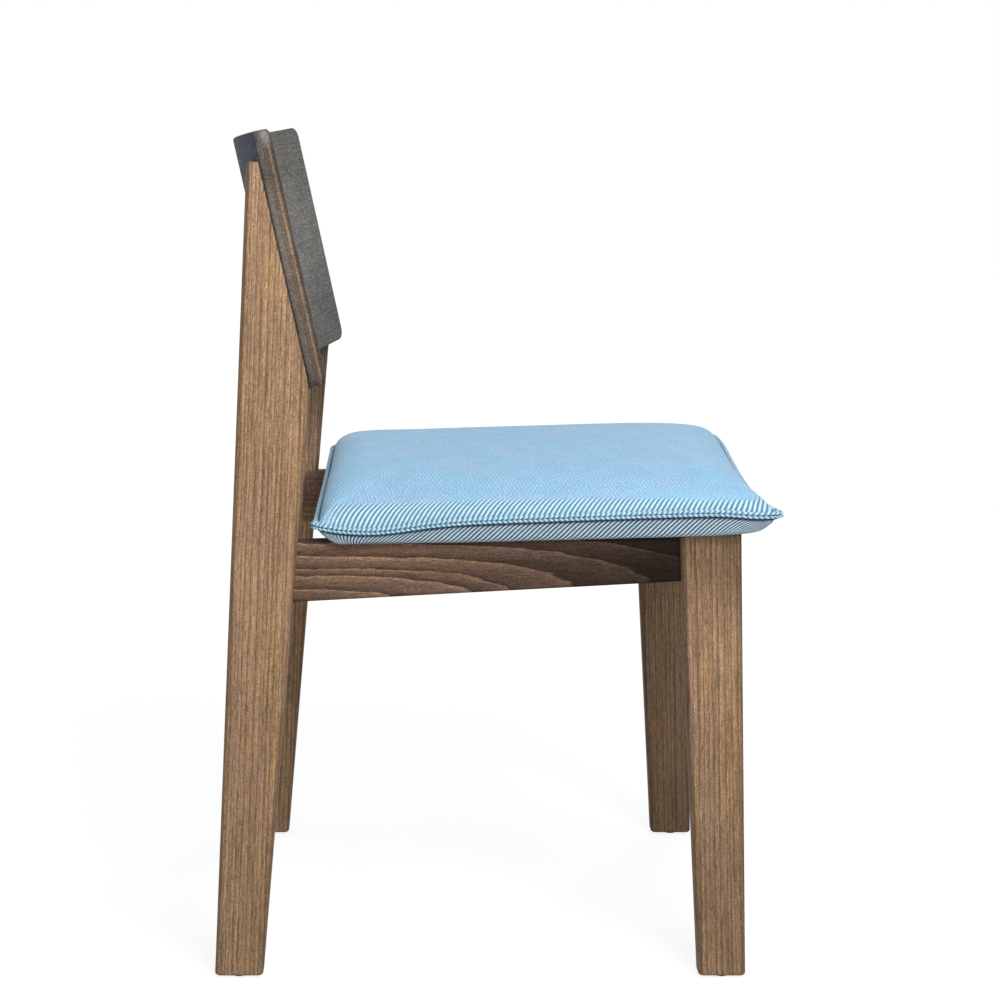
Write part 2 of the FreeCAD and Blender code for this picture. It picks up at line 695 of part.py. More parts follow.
# Seat pad: one form with a crown and drawn-in sides, cut into its cover, foam and welt
def pad_outline(side_inset, end_inset, corner, height):
    """A four-sided outline whose sides bow inwards between rounded corners."""
    half_x = size("seat_width") / 2 - size("flange_width") - side_inset
    half_y = size("seat_length") / 2 - size("flange_width") - end_inset
    draw_in = size("side_draw_in")
    middle = size("pad_middle_y")
    bend = corner * (1 - math.sqrt(0.5))
    edges = []
    for turn in range(4):
        along, across = (half_x, half_y) if turn % 2 == 0 else (half_y, half_x)
        quarter = Rotation(Z_AXIS, 90 * turn)

        def turned(first, second):
            point = quarter.multVec(Vector(first, second, 0))
            return Vector(point.x, point.y + middle, height)

        edges.append(Part.Arc(turned(along, -(across - corner)), turned(along - draw_in, 0),
                              turned(along, across - corner)).toShape())
        edges.append(Part.Arc(turned(along, across - corner), turned(along - bend, across - bend),
                              turned(along - corner, across)).toShape())
    return Part.Wire(edges)


def pad_form(shrink):
    """The loft of the whole pad, drawn in all round by the shrink."""
    seam = size("seam_height")
    low = size("dust_cover_thickness") + shrink
    rise = size("pad_height") - seam - shrink
    sections = []
    for height_share, inset_share in zip(LOWER_HEIGHT_SHARES, LOWER_INSET_SHARES):
        inset = shrink + seam * inset_share
        sections.append((inset, inset, low + (seam - low) * height_share))
    for step in range(1, CROWN_SECTIONS + 1):
        turn = math.pi / 2 * CROWN_TURN_SHARE * step / CROWN_SECTIONS
        drawn_in = 1 - math.cos(turn) ** CROWN_POWER_SHARE
        sections.append((shrink + size("crown_side_reach") * drawn_in,
                         shrink + size("crown_end_reach") * drawn_in,
                         seam + rise * math.sin(turn) ** CROWN_POWER_SHARE))
    wires = [pad_outline(side_inset, end_inset, size("pad_corner"), height)
             for side_inset, end_inset, height in sections]
    return Part.makeLoft(wires, True, False, False, LOFT_DEGREE)


def slab(low, high):
    """A block wider than the pad between two heights, for cutting it."""
    reach = size("seat_width") + size("seat_length")
    return Part.makeBox(2 * reach, 2 * reach, high - low, Vector(-reach, -reach, low))


def rounded_plate(half_x, front, rear, corner, low, thickness):
    """A flat plate with rounded corners."""
    plate = Part.makeBox(2 * half_x, rear - front, thickness, Vector(-half_x, front, low))
    uprights = [edge for edge in plate.Edges if runs_along(edge, Z_AXIS)]
    return plate.makeFillet(corner, uprights)


seam = size("seam_height")
half_flange = size("flange_thickness") / 2
above = size("pad_height") + size("cut_overrun")
outer = pad_form(0)
inner = pad_form(size("cover_thickness"))
shell = outer.cut(inner)

board_half_x = size("seat_width") / 2 - size("board_inset")
board_front = size("board_front_y")
board_rear = size("board_rear_y")
board_low = size("dust_cover_thickness") + size("cover_thickness")
board = rounded_plate(board_half_x, board_front, board_rear, size("board_corner"),
                      board_low, size("board_thickness"))

return_cut = rounded_plate(board_half_x - size("cover_return"), board_front + size("cover_return"),
                           board_rear - size("cover_return"), size("board_corner"),
                           0, board_low + size("fit_gap"))
cover_bottom = shell.common(slab(0, seam - half_flange)).cut(return_cut)
cover_top = shell.common(slab(seam + half_flange, above))
reach_out = -size("flange_width")
flange_form = Part.Face(pad_outline(reach_out, reach_out, size("flange_corner"), seam - half_flange))
flange = flange_form.extrude(Z_AXIS * size("flange_thickness")).cut(inner)
foam = inner.cut(board)
nodes["seat_cover_top"] = shaped("seat_cover_top", cover_top, seat_frame)
nodes["seat_welt"] = shaped("seat_welt", flange, seat_frame)
nodes["seat_foam"] = shaped("seat_foam", foam, seat_frame)

dust_inset = size("dust_cover_inset")
dust_cover = rounded_plate(board_half_x - dust_inset, board_front + dust_inset, board_rear - dust_inset,
                           size("board_corner"), 0, size("dust_cover_thickness"))


# Staples through the dust cover and the cover's return into the board
def staple(middle, along):
    """A wire staple, crown down, legs up, from the middle of its crown."""
    wire = size("staple_wire")
    crown = size("staple_crown")
    tall = size("staple_leg") + wire
    across = Z_AXIS.cross(along)
    corner = middle - along * (crown / 2) - across * (wire / 2)
    profile = [Vector(0, 0, 0), Vector(crown, 0, 0), Vector(crown, 0, tall), Vector(crown - wire, 0, tall),
               Vector(crown - wire, 0, wire), Vector(wire, 0, wire), Vector(wire, 0, tall),
               Vector(0, 0, tall)]
    points = [corner + along * point.x + Z_AXIS * point.z for point in profile]
    return Part.Face(Part.makePolygon(points + points[:1])).extrude(across * wire)


staples = []
line_x = board_half_x - size("cover_return") / 2 - dust_inset / 2
line_front = board_front + size("cover_return") / 2 + dust_inset / 2
line_rear = board_rear - size("cover_return") / 2 - dust_inset / 2
reach_x = line_x - size("board_corner")
reach_y = (line_rear - line_front) / 2 - size("board_corner")
count_x = int(2 * reach_x // size("staple_spacing"))
count_y = int(2 * reach_y // size("staple_spacing"))
middle_y = (line_front + line_rear) / 2
for step in range(count_x + 1):
    x_place = -reach_x + 2 * reach_x * step / count_x
    for y_place in (line_front, line_rear):
        staples.append(staple(Vector(x_place, y_place, 0), X_AXIS))
for step in range(count_y + 1):
    y_place = middle_y - reach_y + 2 * reach_y * step / count_y
    for x_place in (-line_x, line_x):
        staples.append(staple(Vector(x_place, y_place, 0), Y_AXIS))
nodes["seat_staples"] = shaped("seat_staples", Part.makeCompound(staples), seat_frame)
for name, shape in (("seat_board", board), ("seat_cover_bottom", cover_bottom), ("dust_cover", dust_cover)):
    nodes[name] = shaped(name, shape.cut(holes[name] + staples), seat_frame)

# The drilled and shaped wooden pieces
for name, body in bodies.items():
    drilled(name, body, holes[name])
doc.recompute()

# Nothing is written unless every object is sound
for item in doc.Objects:
    if "Invalid" in item.State or "Error" in item.State:
        raise RuntimeError("%s did not compute: %s" % (item.Label, item.State))
for name, part in nodes.items():
    if part.Label != name:
        raise RuntimeError("%s is labelled %s" % (name, part.Label))
    if part.Shape.isNull() or not part.Shape.isValid():
        raise RuntimeError("%s has no valid shape" % name)
os.makedirs("parts", exist_ok=True)
for name, part in nodes.items():
    part.Shape.exportStep(os.path.join("parts", name + ".step"))
box = Part.makeCompound([part.Shape for part in nodes.values()]).BoundBox
print("%d sub-parts, box %.1f x %.1f x %.1f from (%.1f, %.1f, %.1f)" % (
    len(nodes), box.XLength, box.YLength, box.ZLength, box.XMin, box.YMin, box.ZMin))
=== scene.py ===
import math

import bmesh
import bpy
import numpy
from mathutils import Euler, Matrix, Vector, noise


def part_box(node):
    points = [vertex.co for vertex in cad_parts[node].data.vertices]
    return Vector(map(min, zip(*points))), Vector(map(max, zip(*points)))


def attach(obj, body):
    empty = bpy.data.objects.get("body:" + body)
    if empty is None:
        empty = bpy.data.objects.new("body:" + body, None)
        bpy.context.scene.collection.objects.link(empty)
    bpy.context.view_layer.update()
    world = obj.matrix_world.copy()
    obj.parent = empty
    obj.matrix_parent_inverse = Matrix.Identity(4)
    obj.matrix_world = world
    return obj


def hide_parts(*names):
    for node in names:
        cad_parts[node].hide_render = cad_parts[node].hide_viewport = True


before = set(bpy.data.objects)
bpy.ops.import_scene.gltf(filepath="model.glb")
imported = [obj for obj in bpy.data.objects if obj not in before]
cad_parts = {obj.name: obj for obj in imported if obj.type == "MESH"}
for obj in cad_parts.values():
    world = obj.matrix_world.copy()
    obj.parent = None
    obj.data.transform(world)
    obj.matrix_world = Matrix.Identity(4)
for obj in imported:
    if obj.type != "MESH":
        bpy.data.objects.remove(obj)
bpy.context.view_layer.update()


# Studio: a pale floor that runs out to white, a dim surround, a large softbox high on the camera's
# side, close enough to fall off across the chair, and weaker ones below it, above, beside and behind. The
# camera stands square to the chair's right side, a little above the seat, as in the photograph.
def add_node(tree, kind, inputs=None, **settings):
    """A shader node with its settings, its inputs linked to sockets or set to values."""
    made = tree.nodes.new(kind)
    for name, value in settings.items():
        setattr(made, name, value)
    for name, value in (inputs or {}).items():
        if isinstance(value, bpy.types.NodeSocket):
            tree.links.new(value, made.inputs[name])
        else:
            made.inputs[name].default_value = value
    return made


def maths(tree, operation, first, second=0.0, third=0.0):
    """The result of a Math node."""
    return add_node(tree, "ShaderNodeMath", {0: first, 1: second, 2: third}, operation=operation).outputs[0]


def object_place(tree):
    """The place on a piece, in the piece's own coordinates."""
    return add_node(tree, "ShaderNodeTexCoord").outputs["Object"]


def length_of(tree, vector):
    """The length of a vector."""
    return add_node(tree, "ShaderNodeVectorMath", {0: vector}, operation="LENGTH").outputs["Value"]


def seen_rays(tree):
    """1 for the rays that see the surround: from the camera, in a gloss or through glass."""
    path = add_node(tree, "ShaderNodeLightPath")
    seen = maths(tree, "MAXIMUM", path.outputs["Is Camera Ray"], path.outputs["Is Glossy Ray"])
    return maths(tree, "MAXIMUM", seen, path.outputs["Is Transmission Ray"])


white = (1.0, 1.0, 1.0, 1.0)
surround_tint = (0.85, 0.93, 1.0, 1.0)
surround_level = 0.24
studio = bpy.data.worlds.new("studio")
studio.use_nodes = True
tree = studio.node_tree
tree.nodes.clear()
dim = add_node(tree, "ShaderNodeBackground", {"Color": surround_tint, "Strength": surround_level})
bright = add_node(tree, "ShaderNodeBackground", {"Color": white, "Strength": 1.0})
surround = add_node(tree, "ShaderNodeMixShader", {
    0: seen_rays(tree), 1: dim.outputs[0], 2: bright.outputs[0]})
add_node(tree, "ShaderNodeOutputWorld", {"Surface": surround.outputs[0]})
bpy.context.scene.world = studio
bpy.context.scene.view_settings.view_transform = "Standard"

floor_half_size = 9.0
floor_grey = (0.50, 0.50, 0.50, 1.0)
shadow_grey = (0.26, 0.26, 0.26, 1.0)
glow_near, glow_far = 0.8, 4.0
least_glow = 0.84
floor_mesh = bpy.data.meshes.new("studio_floor")
sheet = bmesh.new()
bmesh.ops.create_grid(sheet, x_segments=1, y_segments=1, size=floor_half_size)
sheet.to_mesh(floor_mesh)
sheet.free()
floor = bpy.data.objects.new("studio_floor", floor_mesh)
bpy.context.scene.collection.objects.link(floor)
floor_paint = bpy.data.materials.new("floor_paint")
floor_paint.use_nodes = True
tree = floor_paint.node_tree
tree.nodes.clear()
bounce = add_node(tree, "ShaderNodeBsdfDiffuse", {"Color": floor_grey})
shadow = add_node(tree, "ShaderNodeBsdfDiffuse", {"Color": shadow_grey})
whiter = add_node(tree, "ShaderNodeMapRange", {
    "Value": length_of(tree, object_place(tree)), "From Min": glow_near, "From Max": glow_far,
    "To Min": least_glow, "To Max": 1.0}).outputs[0]
glow = add_node(tree, "ShaderNodeEmission", {"Color": white, "Strength": whiter})
shown = add_node(tree, "ShaderNodeAddShader", {0: shadow.outputs[0], 1: glow.outputs[0]})
floor_surface = add_node(tree, "ShaderNodeMixShader", {
    0: seen_rays(tree), 1: bounce.outputs[0], 2: shown.outputs[0]})
add_node(tree, "ShaderNodeOutputMaterial", {"Surface": floor_surface.outputs[0]})
floor_mesh.materials.append(floor_paint)

lamp_aim = Vector((-0.1, 0.0, 0.42))
lamps = (
    ("key_softbox", (-1.55, -0.55, 1.55), 0.9, 29.0, (1.0, 0.985, 0.96)),
    ("low_softbox", (-2.0, 0.2, 0.45), 0.9, 4.0, (1.0, 1.0, 1.0)),
    ("top_softbox", (0.1, -0.2, 2.6), 1.4, 11.0, (1.0, 1.0, 1.0)),
    ("side_softbox", (1.9, -0.7, 1.3), 1.2, 11.0, (1.0, 1.0, 1.0)),
    ("rear_softbox", (0.5, 2.1, 1.2), 1.2, 7.0, (0.94, 0.97, 1.0)),
)
for name, place, width, power, colour in lamps:
    lamp_data = bpy.data.lights.new(name, "AREA")
    lamp_data.size = width
    lamp_data.energy = power
    lamp_data.color = colour
    lamp = bpy.data.objects.new(name, lamp_data)
    lamp.location = place
    lamp.rotation_euler = (lamp_aim - Vector(place)).to_track_quat("-Z", "Y").to_euler()
    bpy.context.scene.collection.objects.link(lamp)

camera_data = bpy.data.cameras.new("photo_view")
camera_data.sensor_width = 36.0
camera_data.lens = 78.3
camera_data.shift_x = 0.084
camera = bpy.data.objects.new("photo_camera", camera_data)
camera.location = (-2.190, 0.073, 0.802)
camera_pitch = math.radians(9.8)
camera.rotation_euler = (math.pi / 2 - camera_pitch, 0, -math.pi / 2)
bpy.context.scene.collection.objects.link(camera)
bpy.context.scene.camera = camera


# Legs: four planks of stained ash-like hardwood, sawn so that the rings run up their faces as
# close straight lines, with rounded long edges. The rear pair carries on above the seat as the
# posts of the back. Brown stain sits darker in the rings. Painted shade darkens the rounded edges,
# the front and back faces, the feet, the front legs' tops under the seat and the inner faces, and
# painted light brightens the upper posts and the rear legs' inner faces below the seat.
def new_finish(name, settings):
    """A material, its node tree and its shader, whose even settings are on its own sockets."""
    finish = bpy.data.materials.new(name)
    finish.use_nodes = True
    shader = finish.node_tree.nodes["Principled BSDF"]
    for socket, value in settings.items():
        shader.inputs[socket].default_value = value
    return finish, finish.node_tree, shader


def ramp(tree, factor, stops):
    """A colour ramp over a factor, from positions and colours."""
    made = add_node(tree, "ShaderNodeValToRGB", {"Fac": factor})
    band = made.color_ramp
    while len(band.elements) < len(stops):
        band.elements.new(1.0)
    for element, (position, colour) in zip(band.elements, stops):
        element.position = position
        element.color = (*colour, 1.0)
    return made.outputs["Color"]


def spread(tree, factor, low, high, to_low, to_high):
    """A factor between two levels, mapped smoothly to two others."""
    return add_node(tree, "ShaderNodeMapRange", {
        "Value": factor, "From Min": low, "From Max": high, "To Min": to_low, "To Max": to_high,
    }, interpolation_type="SMOOTHSTEP").outputs[0]


def vary(tree, grain, low, high, grain_low=0.3, grain_high=0.7):
    """A noise, mapped smoothly to two levels."""
    return spread(tree, grain, grain_low, grain_high, low, high)


def product(tree, *factors):
    """All the factors, multiplied in turn."""
    made = factors[0]
    for factor in factors[1:]:
        made = maths(tree, "MULTIPLY", made, factor)
    return made


def times(tree, first, second):
    """Two colours or places, multiplied part by part."""
    return add_node(tree, "ShaderNodeVectorMath", {0: first, 1: second}, operation="MULTIPLY").outputs[0]


def scaled(tree, colour, level):
    """A colour at a level."""
    return add_node(tree, "ShaderNodeVectorMath", {0: colour, "Scale": level}, operation="SCALE").outputs[0]


def turned(tree, place, origin, turn, scale=(1.0, 1.0, 1.0)):
    """A place measured from an origin, along turned and stretched axes."""
    return add_node(tree, "ShaderNodeMapping", {
        "Vector": place, "Location": origin, "Rotation": turn, "Scale": scale,
    }, vector_type="TEXTURE").outputs[0]


def grain_noise(tree, place, scale, detail=2.0):
    """Noise over a place that is first stretched by three scales."""
    return add_node(tree, "ShaderNodeTexNoise", {
        "Vector": times(tree, place, scale), "Scale": 1.0, "Detail": detail, "Roughness": 0.55}).outputs[0]


def strayed(tree, value, grain, most):
    """A value moved either way by a noise."""
    return maths(tree, "ADD", value, maths(tree, "MULTIPLY_ADD", grain, 2 * most, -most))


def lay(tree, shader, colour, roughness, relief=None, strength=0.5, depth=0.0002):
    """Give a shader its colour and roughness, and a relief as bump."""
    tree.links.new(colour, shader.inputs["Base Color"])
    if roughness is not None:
        tree.links.new(roughness, shader.inputs["Roughness"])
    if relief is not None:
        bump = add_node(tree, "ShaderNodeBump", {"Height": relief, "Strength": strength, "Distance": depth})
        tree.links.new(bump.outputs[0], shader.inputs["Normal"])


level_plane = (1.0, 1.0, 0.0)
ring_uneven_rate = 0.35
ring_uneven_reach = 1.8
pore_span = (0.56, 0.72)
edge_span = (0.80, 0.995)
# painted shade: how dark a surface is where it turns from the edge normal, as on the legs' rounded edges and
# front and back faces
edge_shade = 0.68
# the heights over which the inner faces' painted light and shade turns from its level below the seat to its
# level above it
inner_shade_span = (0.40, 0.52)


def stained_wood(name, turn, heart, stretch, ring_gap, ring_tones, wander, edge_normal=None, painted_light_fades=(),
                 square=2.0, streaky=1.0, grainy=1.0, gloss=0.25, inner_shade=None):
    """Wood with rings about a heart line and fibres and pores along it, with painted shade where it turns
    from the edge normal, and painted light and shade along fades and on inner faces.
    """
    finish, tree, shader = new_finish(name, {"Specular IOR Level": gloss})
    surface = add_node(tree, "ShaderNodeTexCoord")
    place = surface.outputs["Object"]
    rings_place = turned(tree, place, heart, turn, (1.0, 1.0, stretch))
    board = turned(tree, place, heart, turn)
    slow = grain_noise(tree, board, (9.0, 9.0, 2.2))
    fine = grain_noise(tree, board, (160.0, 160.0, 26.0))
    fibre = grain_noise(tree, board, (900.0, 900.0, 20.0), 3.0)
    streak = grain_noise(tree, board, (350.0, 350.0, 12.0))
    pores = grain_noise(tree, board, (1700.0, 1700.0, 130.0), 1.0)
    speckle = grain_noise(tree, board, (750.0, 750.0, 600.0))
    dashes = grain_noise(tree, board, (520.0, 520.0, 110.0))
    mottle = grain_noise(tree, board, (14.0, 14.0, 8.0), 3.0)

    off_axis = length_of(tree, times(tree, rings_place, level_plane))
    sides = add_node(tree, "ShaderNodeSeparateXYZ", {0: rings_place})
    reach = maths(tree, "ADD", maths(tree, "POWER", off_axis, square),
                  maths(tree, "POWER", maths(tree, "ABSOLUTE", sides.outputs["Z"]), square))
    reach = strayed(tree, maths(tree, "POWER", reach, 1 / square), slow, wander)
    reach = strayed(tree, reach, fine, 0.25 * ring_gap)
    uneven = add_node(tree, "ShaderNodeTexNoise", {
        "W": reach, "Scale": ring_uneven_rate / ring_gap, "Detail": 1.0}, noise_dimensions="1D").outputs[0]
    rings = maths(tree, "FRACT", maths(tree, "ADD", maths(tree, "DIVIDE", reach, ring_gap),
                                       maths(tree, "MULTIPLY", uneven, ring_uneven_reach)))
    level = product(
        tree,
        vary(tree, fibre, 1 - 0.14 * streaky, 1 + 0.14 * streaky, 0.32, 0.68),
        vary(tree, pores, 1.06, 0.66, *pore_span),
        vary(tree, streak, 1 - 0.16 * streaky, 1 + 0.16 * streaky),
        vary(tree, speckle, 1 - 0.24 * grainy, 1 + 0.26 * grainy),
        vary(tree, dashes, 0.84, 1.18),
        vary(tree, mottle, 0.90, 1.10))
    parts = add_node(tree, "ShaderNodeSeparateXYZ", {0: place})
    # painted light and shade along each fade
    for axis, start, end, level_start, level_end in painted_light_fades:
        level = product(tree, level, spread(tree, parts.outputs[axis], start, end, level_start, level_end))
    # painted shade where the surface turns from the edge normal
    if edge_normal:
        facing = add_node(tree, "ShaderNodeVectorMath", {0: surface.outputs["Normal"], 1: edge_normal},
                          operation="DOT_PRODUCT").outputs["Value"]
        away = maths(tree, "ABSOLUTE", facing)
        level = product(tree, level, spread(tree, away, *edge_span, edge_shade, 1.0))
    # painted shade on the inner faces, and painted light on them below the seat on the rear legs
    if inner_shade:
        start, end, low_level, high_level = inner_shade
        inwards = spread(tree, maths(tree, "ABSOLUTE", parts.outputs["X"]), start, end, 1.0, 0.0)
        inner_level = spread(tree, parts.outputs["Z"], *inner_shade_span, low_level, high_level)
        darker = maths(tree, "SUBTRACT", inner_level, 1.0)
        level = product(tree, level, maths(tree, "MULTIPLY_ADD", inwards, darker, 1.0))
    hue = ramp(tree, grain_noise(tree, board, (60.0, 60.0, 6.0)), (
        (0.35, (1.02, 1.0, 0.90)), (0.65, (0.99, 0.985, 1.05))))
    tone = times(tree, ramp(tree, rings, ring_tones), hue)
    relief = maths(tree, "ADD", maths(tree, "MULTIPLY", fibre, 0.5), vary(tree, pores, 0.5, 0.0, *pore_span))
    lay(tree, shader, scaled(tree, tone, level), vary(tree, fibre, 0.78, 0.62), relief)
    return finish


def dress(node, finish):
    """Give a CAD piece its finish in every slot."""
    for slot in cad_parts[node].material_slots:
        slot.material = finish


leg_line_tones = (
    (0.00, (0.225, 0.134, 0.075)),
    (0.10, (0.310, 0.188, 0.106)),
    (0.24, (0.450, 0.283, 0.163)),
    (0.42, (0.405, 0.250, 0.143)),
    (0.74, (0.390, 0.241, 0.139)),
    (0.90, (0.318, 0.194, 0.110)),
    (1.00, (0.225, 0.134, 0.075)))
leg_edge_normal = (1.0, 0.0, 0.0)
leg_stretch = 60.0
leg_ring_gap = 0.0047
leg_wander = 0.004
rear_turn = (math.radians(2.6), 0.0, 0.0)
front_turn = (math.radians(-2.2), 0.0, 0.0)
leg_hearts = {
    "rear_leg_right": (rear_turn, (-0.16, -0.47, 0.30)),
    "rear_leg_left": (rear_turn, (0.30, -0.42, 0.30)),
    "front_leg_right": (front_turn, (-0.28, 0.60, 0.30)),
    "front_leg_left": (front_turn, (0.12, 0.52, 0.30)),
}
# painted light and shade: each fade runs along an axis between two places, from one level to another,
# darker towards the feet, lighter up the posts and darker on the front legs' tops under the seat
leg_light_fades = {
    "rear": (("Z", 0.0, 0.40, 0.84, 0.90), ("Z", 0.50, 0.72, 0.96, 1.06)),
    "front": (("Z", 0.0, 0.30, 0.70, 0.77), ("Z", 0.33, 0.42, 1.0, 0.56), ("Z", 0.417, 0.431, 1.0, 0.42)),
}
# the inner faces' painted shade, and painted light on the rear legs' inner faces below the seat: how far
# across their own level is full and where it ends, then that level below the seat and above it
inner_shades = {"rear": (0.201, 0.224, 1.10, 0.38), "front": (0.201, 0.224, 0.60, 0.60)}
for leg, (turn, heart) in leg_hearts.items():
    end = leg.split("_")[0]
    dress(leg, stained_wood(leg + "_timber", turn, heart, leg_stretch, leg_ring_gap, leg_line_tones,
                            leg_wander, leg_edge_normal, leg_light_fades[end], inner_shade=inner_shades[end]))

# Side rails: flat-sawn rails of the same wood under a darker brown stain, butted between the
# legs and lapped over their inner faces. Flat sawing shows the rings as long nested arches, which
# are faint on the rail to the sitter's left, whose tones are painted light, paler than the other's.
# Painted shade darkens both rails towards the front, under the pad and behind the front legs.
rail_arch_tones = (
    (0.00, (0.066, 0.039, 0.029)),
    (0.12, (0.090, 0.054, 0.039)),
    (0.45, (0.138, 0.086, 0.060)),
    (0.80, (0.188, 0.116, 0.078)),
    (0.95, (0.300, 0.186, 0.122)),
    (1.00, (0.066, 0.039, 0.029)))
# painted light: paler tones for the rail to the sitter's left, as if it were lit brighter than the other
lit_rail_tones = (
    (0.00, (0.150, 0.093, 0.065)),
    (0.30, (0.205, 0.127, 0.090)),
    (0.80, (0.225, 0.140, 0.098)),
    (0.95, (0.255, 0.160, 0.110)),
    (1.00, (0.150, 0.093, 0.065)))
rail_turn = (math.pi / 2, 0.0, 0.0)
rail_wander = 0.0016
# heart, stretch along the grain, ring gap and tones
rail_hearts = {
    "side_rail_right": ((-0.2165, 0.190, 0.357), 5.3, 0.0104, rail_arch_tones),
    "side_rail_left": ((0.216, 0.110, 0.330), 9.0, 0.0060, lit_rail_tones),
}
# painted shade of the pad and the front legs, darker towards the rails' fronts
rail_front_shade = (("Y", -0.21, 0.10, 0.05, 1.05),)
for rail, (heart, stretch, gap, tones) in rail_hearts.items():
    dress(rail, stained_wood(rail + "_timber", rail_turn, heart, stretch, gap, tones, rail_wander,
                             painted_light_fades=rail_front_shade, square=3.2, streaky=0.4, grainy=1.4, gloss=0.08))

# Front and rear rails: the same dark stained wood between the legs, grain from side to side.
cross_turn = (0.0, math.pi / 2, 0.0)
cross_stretch = 7.0
cross_ring_gap = 0.0085
plain_wander = 0.002
for rail, heart in (("front_rail", (0.06, -0.196, 0.350)), ("rear_rail", (-0.08, 0.214, 0.345))):
    dress(rail, stained_wood(rail + "_timber", cross_turn, heart, cross_stretch, cross_ring_gap,
                             rail_arch_tones, plain_wander, streaky=0.5, grainy=1.5, gloss=0.08))

# Corner blocks and cleats: sawn softwood left raw, glued and screwed to the frame under the pad.
raw_wood_tones = (
    (0.00, (0.520, 0.330, 0.170)),
    (0.20, (0.640, 0.450, 0.260)),
    (0.80, (0.700, 0.520, 0.320)),
    (1.00, (0.520, 0.330, 0.170)))
block_stretch, block_ring_gap = 30.0, 0.0036
cleat_stretch, cleat_ring_gap = 40.0, 0.0040
for side, sign in (("left", 1), ("right", -1)):
    block, cleat = "corner_block_" + side, "seat_cleat_" + side
    block_turn = (0.0, math.pi / 2, sign * math.pi / 4)
    dress(block, stained_wood(block + "_timber", block_turn, (sign * 0.15, -0.16, 0.33),
                              block_stretch, block_ring_gap, raw_wood_tones, plain_wander))
    dress(cleat, stained_wood(cleat + "_timber", rail_turn, (sign * 0.20, 0.0, 0.37),
                              cleat_stretch, cleat_ring_gap, raw_wood_tones, plain_wander))

# Back panel: veneers of bent plywood, moulded round an upright axis in front of the chair, stained
# dark, its edges rounded. The veneers' grain runs from side to side, in short pores and long streaks,
# and the bared plies show along the edge, one of them paler than the rest.
def mixed(tree, factor, first, second):
    """One colour turning into another."""
    return add_node(tree, "ShaderNodeMix", {"Factor": factor, 6: first, 7: second},
                    data_type="RGBA").outputs[2]


panel_rake = math.radians(12.3)
panel_radius = 0.770
panel_thickness = 0.017
panel_foot = Vector((0.0, 0.20224, 0.55784))
# the plies from the front face at 0 to the back face at 1; the last tones give the back face its bluish
# slate, painted cool light and reflection
ply_tones = (
    (0.000, (0.128, 0.120, 0.110)),
    (0.050, (0.110, 0.096, 0.082)),
    (0.090, (0.060, 0.044, 0.036)),
    (0.180, (0.075, 0.056, 0.045)),
    (0.230, (0.105, 0.076, 0.058)),
    (0.290, (0.205, 0.148, 0.100)),
    (0.370, (0.225, 0.164, 0.112)),
    (0.400, (0.110, 0.078, 0.058)),
    (0.570, (0.135, 0.096, 0.072)),
    (0.590, (0.070, 0.052, 0.044)),
    (0.630, (0.130, 0.104, 0.086)),
    (0.935, (0.125, 0.104, 0.090)),
    (0.960, (0.055, 0.050, 0.050)),
    (0.985, (0.070, 0.075, 0.090)),
    (1.000, (0.090, 0.101, 0.128)))
panel_turn = Euler((-panel_rake, 0.0, 0.0))
panel_axis = panel_foot + Vector((0.0, -panel_radius, 0.0)) @ panel_turn.to_matrix().inverted()
# the colour of the painted highlight on the upper corners
painted_highlight_tone = (0.30, 0.28, 0.29, 1.0)
panel_finish, tree, shader = new_finish("bent_ply", {"Specular IOR Level": 0.15})
round_axis = turned(tree, object_place(tree), panel_axis, panel_turn)
reach = length_of(tree, times(tree, round_axis, level_plane))
parts = add_node(tree, "ShaderNodeSeparateXYZ", {0: round_axis})
upwards = parts.outputs["Z"]
along = maths(tree, "MULTIPLY", maths(tree, "ARCTAN2", parts.outputs["X"], parts.outputs["Y"]), panel_radius)
veneer = add_node(tree, "ShaderNodeCombineXYZ", {"X": along, "Y": reach, "Z": upwards}).outputs[0]
ripple = grain_noise(tree, veneer, (30.0, 60.0, 30.0))
streaks = grain_noise(tree, veneer, (5.0, 1100.0, 330.0), 3.0)
fibres = grain_noise(tree, veneer, (170.0, 1500.0, 1500.0))
blotch = grain_noise(tree, veneer, (20.0, 30.0, 40.0), 4.0)
speckle = grain_noise(tree, veneer, (85.0, 700.0, 780.0), 3.0)

# the depth runs from 0 on the panel's front to 1 on its back, and the plies stray a little inside
depth = maths(tree, "DIVIDE", maths(tree, "SUBTRACT", reach, panel_radius - panel_thickness), panel_thickness)
inside = product(tree, spread(tree, depth, 0.01, 0.12, 0.0, 1.0), spread(tree, depth, 0.88, 0.99, 1.0, 0.0))
stray = maths(tree, "MULTIPLY", maths(tree, "MULTIPLY_ADD", ripple, 0.08, -0.04), inside)
plies = ramp(tree, maths(tree, "ADD", depth, stray), ply_tones)
level = product(
    tree,
    vary(tree, streaks, 0.88, 1.12),
    vary(tree, blotch, 0.86, 1.16),
    vary(tree, speckle, 0.66, 1.36),
    vary(tree, fibres, 0.80, 1.22),
    spread(tree, upwards, 0.0, 0.12, 0.82, 1.22),
    spread(tree, upwards, 0.13, 0.235, 1.0, 0.66))

